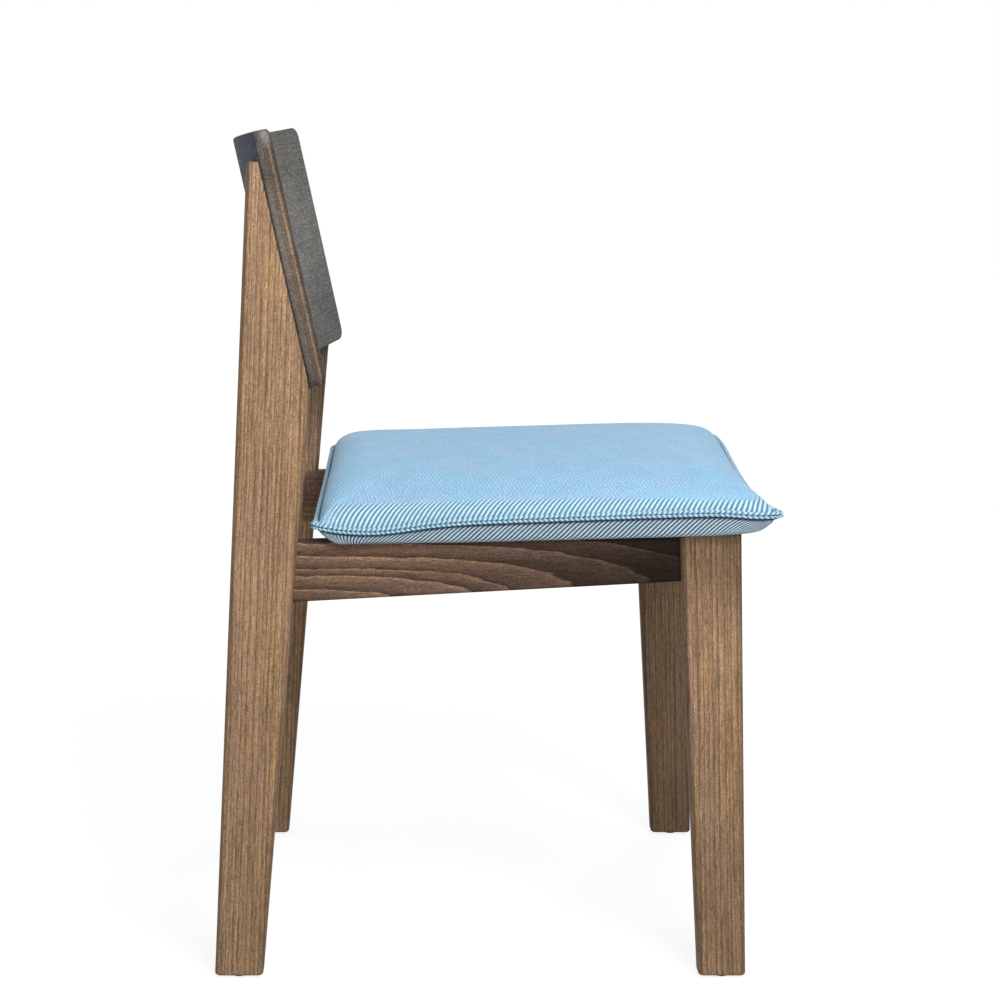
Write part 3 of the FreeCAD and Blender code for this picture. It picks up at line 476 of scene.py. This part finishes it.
# painted highlight: the upper corners are paler on the front half of their edge, where the rounded corner
# catches the light from above
panel_end = panel_radius * math.asin(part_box("backrest_panel")[1].x / panel_radius)
painted_light_share = product(
    tree,
    spread(tree, upwards, 0.216, 0.230, 0.0, 1.0),
    spread(tree, maths(tree, "ABSOLUTE", along), panel_end - 0.012, panel_end - 0.003, 0.0, 1.0),
    spread(tree, depth, 0.45, 0.75, 0.9, 0.0),
    spread(tree, depth, 0.02, 0.25, 0.0, 1.0),
    vary(tree, speckle, 0.4, 1.0))
highlighted = mixed(tree, painted_light_share, scaled(tree, plies, level), painted_highlight_tone)
lay(tree, shader, highlighted, vary(tree, speckle, 0.85, 0.70), speckle, strength=0.4)
dress("backrest_panel", panel_finish)

# Dowels, plugs and the raw plywood seat board: pale beech and birch, hidden or stained over.
small_ring_gap = 0.0030
small_wander = 0.001
dress("backrest_screw_plugs", stained_wood("plug_timber", cross_turn, (0.0, 0.30, 0.66), 1.0, small_ring_gap,
                                           leg_line_tones, small_wander))
for group in ("side_rail_dowels_left", "side_rail_dowels_right", "front_rail_dowels", "rear_rail_dowels"):
    dress(group, stained_wood(group + "_timber", cross_turn, (0.0, 0.0, 0.2), 40.0, small_ring_gap,
                              raw_wood_tones, small_wander))
dress("seat_board", stained_wood("board_timber", cross_turn, (0.0, 0.0, -0.6), 60.0, small_ring_gap,
                                 raw_wood_tones, plain_wander))

# Screws and staples: yellow zinc and galvanised wire, both scuffed.
def flecked(name, settings, scale, detail, tones, roughness, bump_depth=0.0):
    """A material whose tone, gloss and height vary a little with one fine noise."""
    finish, tree, shader = new_finish(name, settings)
    flecks = grain_noise(tree, object_place(tree), (scale, scale, scale), detail)
    lay(tree, shader, ramp(tree, flecks, tones), vary(tree, flecks, *roughness),
        flecks if bump_depth else None, depth=bump_depth)
    return finish


def bright_metal(name, colour, rough):
    """A plated metal, scuffed darker and duller in places."""
    scuffed = tuple(0.6 * part for part in colour)
    return flecked(name, {"Metallic": 1.0}, 900.0, 3.0, ((0.35, scuffed), (0.65, colour)),
                   (rough - 0.1, rough + 0.15))


yellow_zinc = bright_metal("yellow_zinc", (0.80, 0.66, 0.36), 0.35)
for group in ("backrest_screws", "corner_block_screws", "cleat_screws", "seat_screws"):
    dress(group, yellow_zinc)
dress("seat_staples", bright_metal("galvanised_wire", (0.62, 0.63, 0.65), 0.4))

# Floor glides: brown nylon discs nailed into the feet.
nylon = flecked("glide_nylon", {"Specular IOR Level": 0.4}, 500.0, 3.0,
                ((0.3, (0.030, 0.024, 0.020)), (0.7, (0.060, 0.050, 0.044))), (0.45, 0.65))
for end in ("front", "rear"):
    for side in ("left", "right"):
        dress("foot_glide_%s_%s" % (end, side), nylon)

# Seat pad: foam on the board under one stretched cover of light blue diagonal cord. The crown
# falls away to a seam whose corners stand out as small ears; below the seam the cover hangs a
# little outside the legs and tucks in under the board. It is shaped first, then blown up as cloth.
seat_tilt = math.radians(1.65)
seat_plane = Matrix.Translation((0.0, 0.0, 0.427)) @ Matrix.Rotation(-seat_tilt, 4, "X")
pad_half_width = 0.2270
pad_half_length = 0.21225
pad_middle = -0.04775
pad_underside = 0.0003
seam_height = 0.0165
face_height = 0.0190
dome_height = 0.0225
front_draw_in = 0.0060
front_skew = 0.0100
side_draw_in = 0.0030
ear_corner = 0.0060
far_corner = 0.0180
body_corner = 0.0240
tuck_corner = 0.0140
cover_cells = 108
cover_crowding = 0.25
tuck_cloth = 0.036
side_face, side_dome = 16, 2.4
front_face, front_dome = 16, 6
rear_face, rear_dome = 24, 14


def crown_over(across, along):
    """Height of the pad's top over its seam: a steep face all round, and a low dome on top."""
    face_power, dome_power = (rear_face, rear_dome) if along > 0 else (front_face, front_dome)
    face = face_height * math.sqrt((1 - abs(across) ** side_face) * (1 - abs(along) ** face_power))
    return face + dome_height * (1 - abs(across) ** side_dome) * (1 - abs(along) ** dome_power)


def spare_cloth(half, lift_at):
    """How much more cloth than plan lies between the middle and each share of the way out."""
    shares = numpy.linspace(0.0, 1.0, 901)
    steps = numpy.hypot(numpy.diff(shares) * half, numpy.diff([lift_at(share) for share in shares]))
    return shares, numpy.concatenate(([0.0], numpy.cumsum(steps))) - shares * half


corner_power = 6
lean_over = 0.0120
lean_depth = 0.0280
side_spare = spare_cloth(pad_half_width, lambda share: crown_over(share, 0.0))
front_spare = spare_cloth(pad_half_length, lambda share: crown_over(0.0, -share))
rear_spare = spare_cloth(pad_half_length, lambda share: crown_over(0.0, share))


def cut_place(across, along):
    """Where a point of the top was cut from, in metres from the middle of the flat cloth."""
    spare = float(numpy.interp(abs(across), *side_spare))
    cloth_half = pad_half_width + float(side_spare[1][-1])
    from_seam = cloth_half - abs(across) * pad_half_width - spare
    lean = lean_over * min((from_seam / lean_depth) ** 2,
                           (cloth_half - from_seam) / (cloth_half - lean_depth))
    end_spare = float(numpy.interp(abs(along), *(rear_spare if along > 0 else front_spare)))
    extra_x = (spare - lean) * (1 - abs(along) ** corner_power)
    extra_y = end_spare * (1 - abs(across) ** corner_power)
    return Vector((across * pad_half_width + math.copysign(1, across) * extra_x,
                   along * pad_half_length + math.copysign(1, along) * extra_y))


def rounded(across, along, half_width, half_length, corner):
    """A point of a rectangle's edge, moved onto the same rectangle with round corners."""
    corner = min(corner, half_width, half_length)
    core = Vector((max(corner - half_width, min(half_width - corner, across)),
                   max(corner - half_length, min(half_length - corner, along))))
    arm = Vector((across, along)) - core
    if arm.length > 0:
        arm = arm.normalized() * corner
    return core + arm


def drawn_in(spot, hold):
    """A point of the pad's plan with the front and the sides drawn in between the corners."""
    share_x = spot.x / pad_half_width
    share_y = spot.y / pad_half_length
    front = ((front_draw_in - front_skew * share_x) * max(0.0, 1 - share_x ** 4)
             * max(0.0, -share_y) ** 2 * hold)
    side = side_draw_in * max(0.0, 1 - share_y ** 2) * share_x ** 3 * hold
    return Vector((spot.x - side, spot.y + front + pad_middle))


rear_dip, rear_dip_at, rear_dip_width = 0.0065, 0.76, 0.24
front_dip, front_dip_at, front_dip_width = 0.0030, 0.92, 0.12
side_slope = 0.0017
ear_lift = 0.0028
ear_power = 24
far_lift = 0.0070


def seam_level(edge):
    """The seam's height: it dips before the corners and lifts at the ears of the sitter's left."""
    dip = rear_dip * math.exp(-((edge.y - rear_dip_at) / rear_dip_width) ** 2)
    dip += front_dip * math.exp(-((edge.y + front_dip_at) / front_dip_width) ** 2)
    dip += side_slope * edge.y * (1 - edge.y ** 4)
    ear = ear_lift * (abs(edge.x) * max(0.0, edge.y)) ** ear_power
    lift = far_lift * max(0.0, edge.x) * abs(edge.y) ** corner_power
    return seam_height - dip * abs(edge.x) ** corner_power + ear + lift


def ear_round(edge):
    """The seam's corner radius: a tight ear, but a round one at the rear of the sitter's left."""
    return far_corner if min(edge.x, edge.y) > 0 else ear_corner


def seam_place(edge):
    """A point of the seam, from its place on the edge of a square from -1 to 1."""
    spot = rounded(edge.x * pad_half_width, edge.y * pad_half_length, pad_half_width, pad_half_length,
                   ear_round(edge))
    spot = drawn_in(spot, 1.0)
    return Vector((spot.x, spot.y, seam_level(edge)))


corner_ease = 0.05
seam_roll = 200
seam_fade = 12


def top_point(across, along):
    """A point of the upper panel, at shares of the way out."""
    ring = max(abs(across), abs(along))
    edge = Vector((across, along)) / ring if ring else Vector((0.0, 0.0))
    corner = ear_round(edge) + (body_corner - ear_round(edge)) * min(1.0, (1 - ring) / corner_ease)
    spot = rounded(across * pad_half_width, along * pad_half_length,
                   pad_half_width * ring, pad_half_length * ring, corner)
    share_x, share_y = spot.x / pad_half_width, spot.y / pad_half_length
    rise = crown_over(share_x, share_y) * math.sqrt(1 - ring ** seam_roll)
    spot = drawn_in(spot, 1.0)
    level = seam_height + (seam_level(edge) - seam_height) * ring ** seam_fade
    return Vector((spot.x, spot.y, level + rise)), cut_place(share_x, share_y), 0.0


def drape(points):
    """Smooth curves through rows: a share of the tucked cloth, how far out, a share of the seam's height."""
    rows, outs, lifts = zip(*points)
    return numpy.polyfit(rows, outs, len(points) - 1), numpy.polyfit(rows, lifts, len(points) - 1)


side_drape = drape(((0.0, 0.0, 1.0), (0.20, 0.0018, 0.72), (0.42, 0.0028, 0.34), (0.62, 0.0022, -0.04),
                    (0.82, -0.0006, -0.26), (1.0, -0.0040, 0.0)))
front_drape = drape(((0.0, 0.0, 1.0), (0.20, -0.0002, 0.68), (0.42, -0.0012, 0.32), (0.62, -0.0034, 0.04),
                     (0.82, -0.0080, -0.12), (1.0, -0.0160, 0.0)))
rear_drape = drape(((0.0, 0.0, 1.0), (0.20, -0.0010, 0.74), (0.42, -0.0034, 0.44), (0.62, -0.0070, 0.19),
                    (0.82, -0.0125, 0.04), (1.0, -0.0200, 0.0)))
corner_drape = drape(((0.0, 0.0, 1.0), (0.20, -0.0006, 0.62), (0.42, -0.0052, 0.24), (0.62, -0.0122, 0.04),
                      (0.82, -0.0205, -0.03), (1.0, -0.0300, 0.0)))
lower_bias = 1.7
end_power = 8
side_hold = 12
# how deep the painted shade of the lower panel is at the seam; it is full at the tuck
least_under_shade = 0.3


def hang(curves, row):
    """How far out the cloth is and its share of the seam's height, after a share of its tuck."""
    return float(numpy.polyval(curves[0], row)), float(numpy.polyval(curves[1], row))


def under_point(across, along):
    """A point of the lower panel, at shares of the way out on the flat grid."""
    ring = max(abs(across), abs(along))
    edge = Vector((across, along)) / ring if ring else Vector((0.0, 0.0))
    cloth = (1 - ring) * (pad_half_width + pad_half_length) / 2
    row = min(1.0, cloth / tuck_cloth)
    start = seam_level(edge)
    side_out, side_lift = hang(side_drape, row)
    mid_out, mid_lift = hang(front_drape if edge.y < 0 else rear_drape, row)
    corner_out, corner_lift = hang(corner_drape, row)
    near_corner = abs(edge.x) ** corner_power
    at_side = abs(edge.x) ** end_power
    at_end = abs(edge.y) ** end_power
    end_out = mid_out + (corner_out - mid_out) * near_corner
    end_lift = mid_lift + (corner_lift - mid_lift) * near_corner
    lift = end_lift + (side_lift - end_lift) * at_side * (1 - abs(edge.y) ** side_hold)
    inner = min(1.0, ring / (1 - 2 * tuck_cloth / (pad_half_width + pad_half_length)))
    half_width = (pad_half_width + side_out * at_side) * inner
    half_length = (pad_half_length + end_out * at_end) * inner
    corner = (ear_round(edge) + (tuck_corner - ear_round(edge)) * row ** 2) * inner
    spot = drawn_in(rounded(edge.x * half_width, edge.y * half_length, half_width, half_length, corner), ring)
    height = pad_underside + (start - pad_underside) * lift
    outward = Vector((math.copysign(at_side, edge.x), math.copysign(at_end, edge.y)))
    cut_at = cut_place(edge.x, edge.y) + outward * cloth * lower_bias
    # the lower panel carries painted shade, deeper towards the tuck
    return Vector((spot.x, spot.y, height)), cut_at, least_under_shade + (1 - least_under_shade) * row


def cover_panel(point_at):
    """One panel of the cover, bent from a flat grid, with its flat cutting places as UVs and its painted
    shade.
    """
    panel = bmesh.new()
    bmesh.ops.create_grid(panel, x_segments=cover_cells, y_segments=cover_cells, size=1.0)
    cut = panel.loops.layers.uv.new("cut")
    under_shade = panel.verts.layers.float.new("under_shade")
    panel.verts.index_update()
    weave = {}
    for vert in panel.verts:
        across = vert.co.x * (1 + cover_crowding - cover_crowding * vert.co.x ** 2)
        along = vert.co.y * (1 + cover_crowding - cover_crowding * vert.co.y ** 2)
        vert.co, weave[vert.index], vert[under_shade] = point_at(across, along)
    for face in panel.faces:
        for loop in face.loops:
            loop[cut].uv = weave[loop.vert.index]
    return panel


def as_mesh(shape, name):
    """A finished mesh from a shape."""
    mesh = bpy.data.meshes.new(name)
    shape.to_mesh(mesh)
    shape.free()
    return mesh


def as_piece(mesh, finish):
    """A piece of the chair, in the scene, riding on its one body, shaded smooth."""
    piece = bpy.data.objects.new(mesh.name, mesh)
    bpy.context.scene.collection.objects.link(piece)
    mesh.materials.append(finish)
    mesh.polygons.foreach_set("use_smooth", [True] * len(mesh.polygons))
    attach(piece, "root")
    return piece


seam_weld = 0.0001
pad_shape = cover_panel(top_point)
lower_shape = cover_panel(under_point)
bmesh.ops.reverse_faces(lower_shape, faces=lower_shape.faces)
lower_mesh = as_mesh(lower_shape, "lower_cover")
pad_shape.from_mesh(lower_mesh)
bpy.data.meshes.remove(lower_mesh)
bmesh.ops.remove_doubles(pad_shape, verts=pad_shape.verts, dist=seam_weld)
pad_mesh = as_mesh(pad_shape, "seat_pad")

cord_angle = math.radians(28)
cord_pitch = 0.00416
bead_pitch = 0.0011
wale_angle = math.radians(16)
wale_pitch = 0.0035


def rib_count(place):
    """How many ribs lie between the middle of the flat cloth and a place on it."""
    return (place.x * math.sin(cord_angle) + place.y * math.cos(cord_angle)) / cord_pitch


def lines_over(tree, parts, share_x, share_y, pitch):
    """How many lines of a pitch lie between the middle of the flat cloth and a place, in a direction."""
    return maths(tree, "ADD", maths(tree, "MULTIPLY", parts.outputs["X"], share_x / pitch),
                 maths(tree, "MULTIPLY", parts.outputs["Y"], share_y / pitch))


def cord_fabric():
    """Diagonal cord: pale ribs between dark blue lines on the sides, fading to plain twill on top, with
    painted shade on the ribs of the lower panel.
    """
    finish, tree, shader = new_finish("diagonal_cord", {
        "Roughness": 0.85, "Specular IOR Level": 0.2, "Sheen Weight": 0.15, "Sheen Roughness": 0.4})
    cut = add_node(tree, "ShaderNodeUVMap", uv_map="cut").outputs[0]
    parts = add_node(tree, "ShaderNodeSeparateXYZ", {0: cut})
    count = lines_over(tree, parts, math.sin(cord_angle), math.cos(cord_angle), cord_pitch)
    across = maths(tree, "FRACT", count)
    bead_count = lines_over(tree, parts, math.cos(cord_angle), -math.sin(cord_angle), bead_pitch)
    beads = maths(tree, "ADD", bead_count, maths(tree, "MULTIPLY", across, 2.0))
    beads = maths(tree, "SINE", maths(tree, "MULTIPLY", beads, 2 * math.pi))
    ribs = ramp(tree, across, (
        (0.00, (0.085, 0.190, 0.300)),
        (0.14, (0.125, 0.250, 0.370)),
        (0.34, (0.490, 0.740, 0.880)),
        (0.52, (0.620, 0.830, 0.930)),
        (0.70, (0.490, 0.740, 0.880)),
        (0.88, (0.150, 0.290, 0.410)),
        (1.00, (0.085, 0.190, 0.300))))
    shaded_ribs = ramp(tree, across, (
        (0.00, (0.022, 0.052, 0.084)),
        (0.14, (0.048, 0.095, 0.140)),
        (0.34, (0.440, 0.570, 0.670)),
        (0.52, (0.640, 0.760, 0.840)),
        (0.70, (0.440, 0.570, 0.670)),
        (0.88, (0.062, 0.118, 0.168)),
        (1.00, (0.022, 0.052, 0.084))))
    # painted shade: on the lower panel the ribs turn to their shaded copy and grow darker towards the tuck
    painted_light_share = add_node(tree, "ShaderNodeAttribute", attribute_name="under_shade").outputs["Fac"]
    ribs = mixed(tree, spread(tree, painted_light_share, 0.0, least_under_shade, 0.0, 1.0), ribs, shaded_ribs)
    fleck = grain_noise(tree, cut, (900.0, 900.0, 900.0))
    slub = grain_noise(tree, cut, (300.0, 520.0, 400.0))
    cloud = grain_noise(tree, cut, (40.0, 40.0, 40.0), 3.0)
    wale_count = lines_over(tree, parts, -math.sin(wale_angle), math.cos(wale_angle), wale_pitch)
    twill = maths(tree, "SINE", maths(tree, "MULTIPLY", wale_count, 2 * math.pi))
    plain = ramp(tree, maths(tree, "MULTIPLY_ADD", twill, 0.10, fleck), (
        (0.25, (0.205, 0.405, 0.610)),
        (0.50, (0.290, 0.500, 0.705)),
        (0.75, (0.400, 0.615, 0.805))))
    hue = ramp(tree, grain_noise(tree, cut, (22.0, 22.0, 22.0), 1.0), (
        (0.35, (0.93, 1.01, 1.0)), (0.65, (1.06, 0.99, 1.01))))
    shown = add_node(tree, "ShaderNodeAttribute", attribute_name="ribbing").outputs["Fac"]
    tone = mixed(tree, shown, times(tree, plain, hue), ribs)
    level = product(
        tree,
        vary(tree, fleck, 0.82, 1.18),
        vary(tree, cloud, 0.96, 1.04),
        vary(tree, slub, 0.90, 1.10),
        maths(tree, "MULTIPLY_ADD", beads, 0.05, 1.0),
        maths(tree, "MULTIPLY_ADD", painted_light_share, -0.12, 1.04))
    rise = maths(tree, "SINE", maths(tree, "MULTIPLY", across, math.pi))
    relief = product(tree, shown, maths(tree, "ADD", rise, maths(tree, "MULTIPLY", beads, 0.12)))
    relief = maths(tree, "ADD", relief, maths(tree, "MULTIPLY", maths(tree, "ADD", fleck, twill), 0.08))
    lay(tree, shader, scaled(tree, tone, level), None, relief, 0.7, 0.0008)
    return finish


cord = cord_fabric()
pad = as_piece(pad_mesh, cord)

# the ribs show up to a line round the pad that falls a little to its front, but not on its rear
rib_top = 0.0342
rib_fall = 0.0045
rib_fade = 0.0015
rear_from, rear_to = 0.146, 0.158
least_ribbing = 0.05
ribbing = pad_mesh.attributes.new("ribbing", "FLOAT", "POINT")
for vert in pad_mesh.vertices:
    fallen = rib_fall * min(0.0, vert.co.y / pad_half_length) ** 2
    below = (rib_top - fallen - vert.co.z) / rib_fade
    ahead = (rear_to - vert.co.y) / (rear_to - rear_from) if vert.co.z > seam_height else 1.0
    shown = max(0.0, min(1.0, below)) * max(0.0, min(1.0, ahead))
    ribbing.data[vert.index].value = least_ribbing + (1 - least_ribbing) * shown

# the underside is tacked to the board, so it is pinned while the rest swells
most_swell = 0.002
swell_frames = 20
tacked_height = 0.001
tacked = pad.vertex_groups.new(name="tacked")
tacked.add([vert.index for vert in pad_mesh.vertices if vert.co.z < pad_underside + tacked_height],
           1.0, "REPLACE")
cloth = pad.modifiers.new("swell", "CLOTH")
cloth.settings.use_pressure = True
cloth.settings.uniform_pressure_force = 4.0
cloth.settings.vertex_group_mass = "tacked"
cloth.settings.tension_stiffness = 20.0
cloth.settings.compression_stiffness = 20.0
cloth.settings.bending_stiffness = 2.0
cloth.settings.effector_weights.gravity = 0.0
for step in range(1, swell_frames + 1):
    bpy.context.scene.frame_set(step)
evaluated = pad.evaluated_get(bpy.context.evaluated_depsgraph_get())
moved = [vert.co.copy() for vert in evaluated.to_mesh().vertices]
evaluated.to_mesh_clear()
pad.modifiers.remove(cloth)
bpy.context.scene.frame_set(1)
for vert, new in zip(pad_mesh.vertices, moved):
    shift = new - vert.co
    if shift.length > most_swell:
        shift = shift.normalized() * most_swell
    vert.co = vert.co + shift

pad_mesh.transform(seat_plane)
smooth = pad.modifiers.new("smooth", "SUBSURF")
smooth.levels = 1
smooth.render_levels = 1
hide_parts("seat_cover_top", "seat_cover_bottom", "seat_foam")

# Welt: the seam allowances of both panels, folded outwards, pressed and stitched into two narrow
# lips, one on the other, that run right round the pad and end in an ear at each corner. Each rib
# of the cord makes a small bead where it is folded round a lip.
welt_steps = 4 * 560
welt_around = 8
# how high each lip lies on the seam, how far it reaches out and half its thickness
lips = ((0.0020, 0.0034, 0.0017), (-0.0012, 0.0037, 0.0015))
# how much further the lips reach at an ear, on the sitter's right and left
ear_reach = (0.0044, 0.0010)
lip_root = 0.30
bead_dent = 0.26
bead_power = 0.6
strip_weld = 0.00001
upright = Vector((0.0, 0.0, 1.0))
look_aside = 0.0003


def square_edge(share):
    """The place on the edge of a square from -1 to 1, at a share of the way round."""
    turn = (share % 1.0) * 4
    side = int(turn) % 4
    step = 2 * (turn - int(turn)) - 1
    return (Vector((1.0, step)), Vector((-step, 1.0)), Vector((-1.0, -step)), Vector((step, -1.0)))[side]


def seam_outward(share):
    """The level direction away from the pad, at a share of the way round the seam."""
    forward = seam_place(square_edge(share + look_aside)) - seam_place(square_edge(share - look_aside))
    return forward.cross(upright).normalized()


def close_round(strip):
    """Weld a strip into a closed ring, turn its faces outwards and lay it on the seat's plane."""
    bmesh.ops.remove_doubles(strip, verts=strip.verts, dist=strip_weld)
    bmesh.ops.recalc_face_normals(strip, faces=strip.faces)
    bmesh.ops.transform(strip, matrix=seat_plane, verts=strip.verts)


welt_shape = bmesh.new()
cut = welt_shape.loops.layers.uv.new("cut")
weave = {}
for lip_lift, lip_reach, lip_half in lips:
    lip = bmesh.ops.create_grid(welt_shape, x_segments=welt_steps, y_segments=welt_around, size=0.5)["verts"]
    welt_shape.verts.index_update()
    stations = {}
    for vert in lip:
        station = round((vert.co.x + 0.5) * welt_steps)
        if station not in stations:
            share = station / welt_steps
            edge = square_edge(share)
            stations[station] = seam_place(edge), seam_outward(share), edge
        place, outward, edge = stations[station]
        turn = 2 * math.pi * (vert.co.y + 0.5)
        reach = lip_reach + ear_reach[edge.x > 0] * (abs(edge.x) * abs(edge.y)) ** ear_power
        folded = 1 - turn / math.pi if lip_lift > 0 else turn / math.pi - 1
        travel = (reach + lip_half) * (folded if folded > 0 else 2 + folded)
        flat = cut_place(edge.x, edge.y) + outward.to_2d() * travel
        bead = 1 - bead_dent + bead_dent * abs(math.sin(math.pi * rib_count(flat))) ** bead_power
        out = reach * (lip_root + (1 - lip_root) * math.cos(turn) * bead)
        rise = lip_lift + lip_half * bead * math.sin(turn)
        vert.co = place + outward * out + upright * rise
        weave[vert.index] = flat
for face in welt_shape.faces:
    for loop in face.loops:
        loop[cut].uv = weave[loop.vert.index]
close_round(welt_shape)
welt_mesh = as_mesh(welt_shape, "seam_welt")
welt_ribbing = 0.85
ribbing = welt_mesh.attributes.new("ribbing", "FLOAT", "POINT")
ribbing.data.foreach_set("value", [welt_ribbing] * len(welt_mesh.vertices))
welt = as_piece(welt_mesh, cord)
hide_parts("seat_welt")

# Seam thread: one dark blue line of sewing thread, drawn tight in the fold below the welt, thick and dark
# enough to stand in for the painted shadow line under the welt as well.
thread_radius = 0.0010
thread_drop = 0.0030
thread_out = 0.0010
thread_steps = 4 * 220
thread_around = 6
thread_twist = 0.15
thread_shape = bmesh.new()
bmesh.ops.create_grid(thread_shape, x_segments=thread_steps, y_segments=thread_around, size=0.5)
for vert in thread_shape.verts:
    share = vert.co.x + 0.5
    turn = 2 * math.pi * (vert.co.y + 0.5)
    twist = 1.0 + thread_twist * math.sin(2 * math.pi * share * thread_steps / 4)
    out = thread_out + thread_radius * twist * math.cos(turn)
    rise = thread_radius * twist * math.sin(turn) - thread_drop
    vert.co = seam_place(square_edge(share)) + seam_outward(share) * out + upright * rise
close_round(thread_shape)
# painted shadow: the thread's dark blue also stands for the shade in the fold under the welt
thread_shadow_line = flecked("thread_shadow_line", {"Specular IOR Level": 0.3}, 1500.0, 2.0,
                      ((0.3, (0.020, 0.036, 0.060)), (0.7, (0.050, 0.080, 0.120))), (0.7, 0.9))
thread = as_piece(as_mesh(thread_shape, "seam_thread"), thread_shadow_line)

# Dust cover: black non-woven cloth stapled under the board, with a little slack in its middle.
dust_low, dust_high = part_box("dust_cover")
dust_half_width = dust_high.x
dust_front = dust_low.y / math.cos(seat_tilt)
dust_rear = dust_high.y / math.cos(seat_tilt)
dust_middle, dust_half_length = (dust_front + dust_rear) / 2, (dust_rear - dust_front) / 2
dust_cells = 60
dust_slack = 0.004
dust_stapled = 0.86
dust_wrinkle = 0.0016
wrinkles_across = 5
dust_level = 0.0004
dust_thickness = 0.0004
dust_shape = bmesh.new()
bmesh.ops.create_grid(dust_shape, x_segments=dust_cells, y_segments=dust_cells, size=1.0)
for vert in dust_shape.verts:
    across, along = vert.co.x, vert.co.y
    hold = max(abs(across), abs(along))
    sag = dust_slack * max(0.0, 1 - (hold / dust_stapled) ** 2) ** 1.5
    waves = noise.noise(Vector((across * wrinkles_across, along * wrinkles_across, 0.0)))
    wrinkle = dust_wrinkle * waves * (1 - hold)
    vert.co = (across * dust_half_width, dust_middle + along * dust_half_length, dust_level - sag + wrinkle)
bmesh.ops.transform(dust_shape, matrix=seat_plane, verts=dust_shape.verts)
dust_mesh = as_mesh(dust_shape, "dust_cloth")
black_cloth = flecked("black_non_woven", {"Specular IOR Level": 0.2}, 600.0, 4.0,
                      ((0.35, (0.010, 0.010, 0.012)), (0.65, (0.040, 0.040, 0.044))), (0.8, 0.95), 0.0003)
dust = as_piece(dust_mesh, black_cloth)
thick = dust.modifiers.new("thickness", "SOLIDIFY")
thick.thickness = dust_thickness
thick.offset = 0.0
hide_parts("dust_cover")
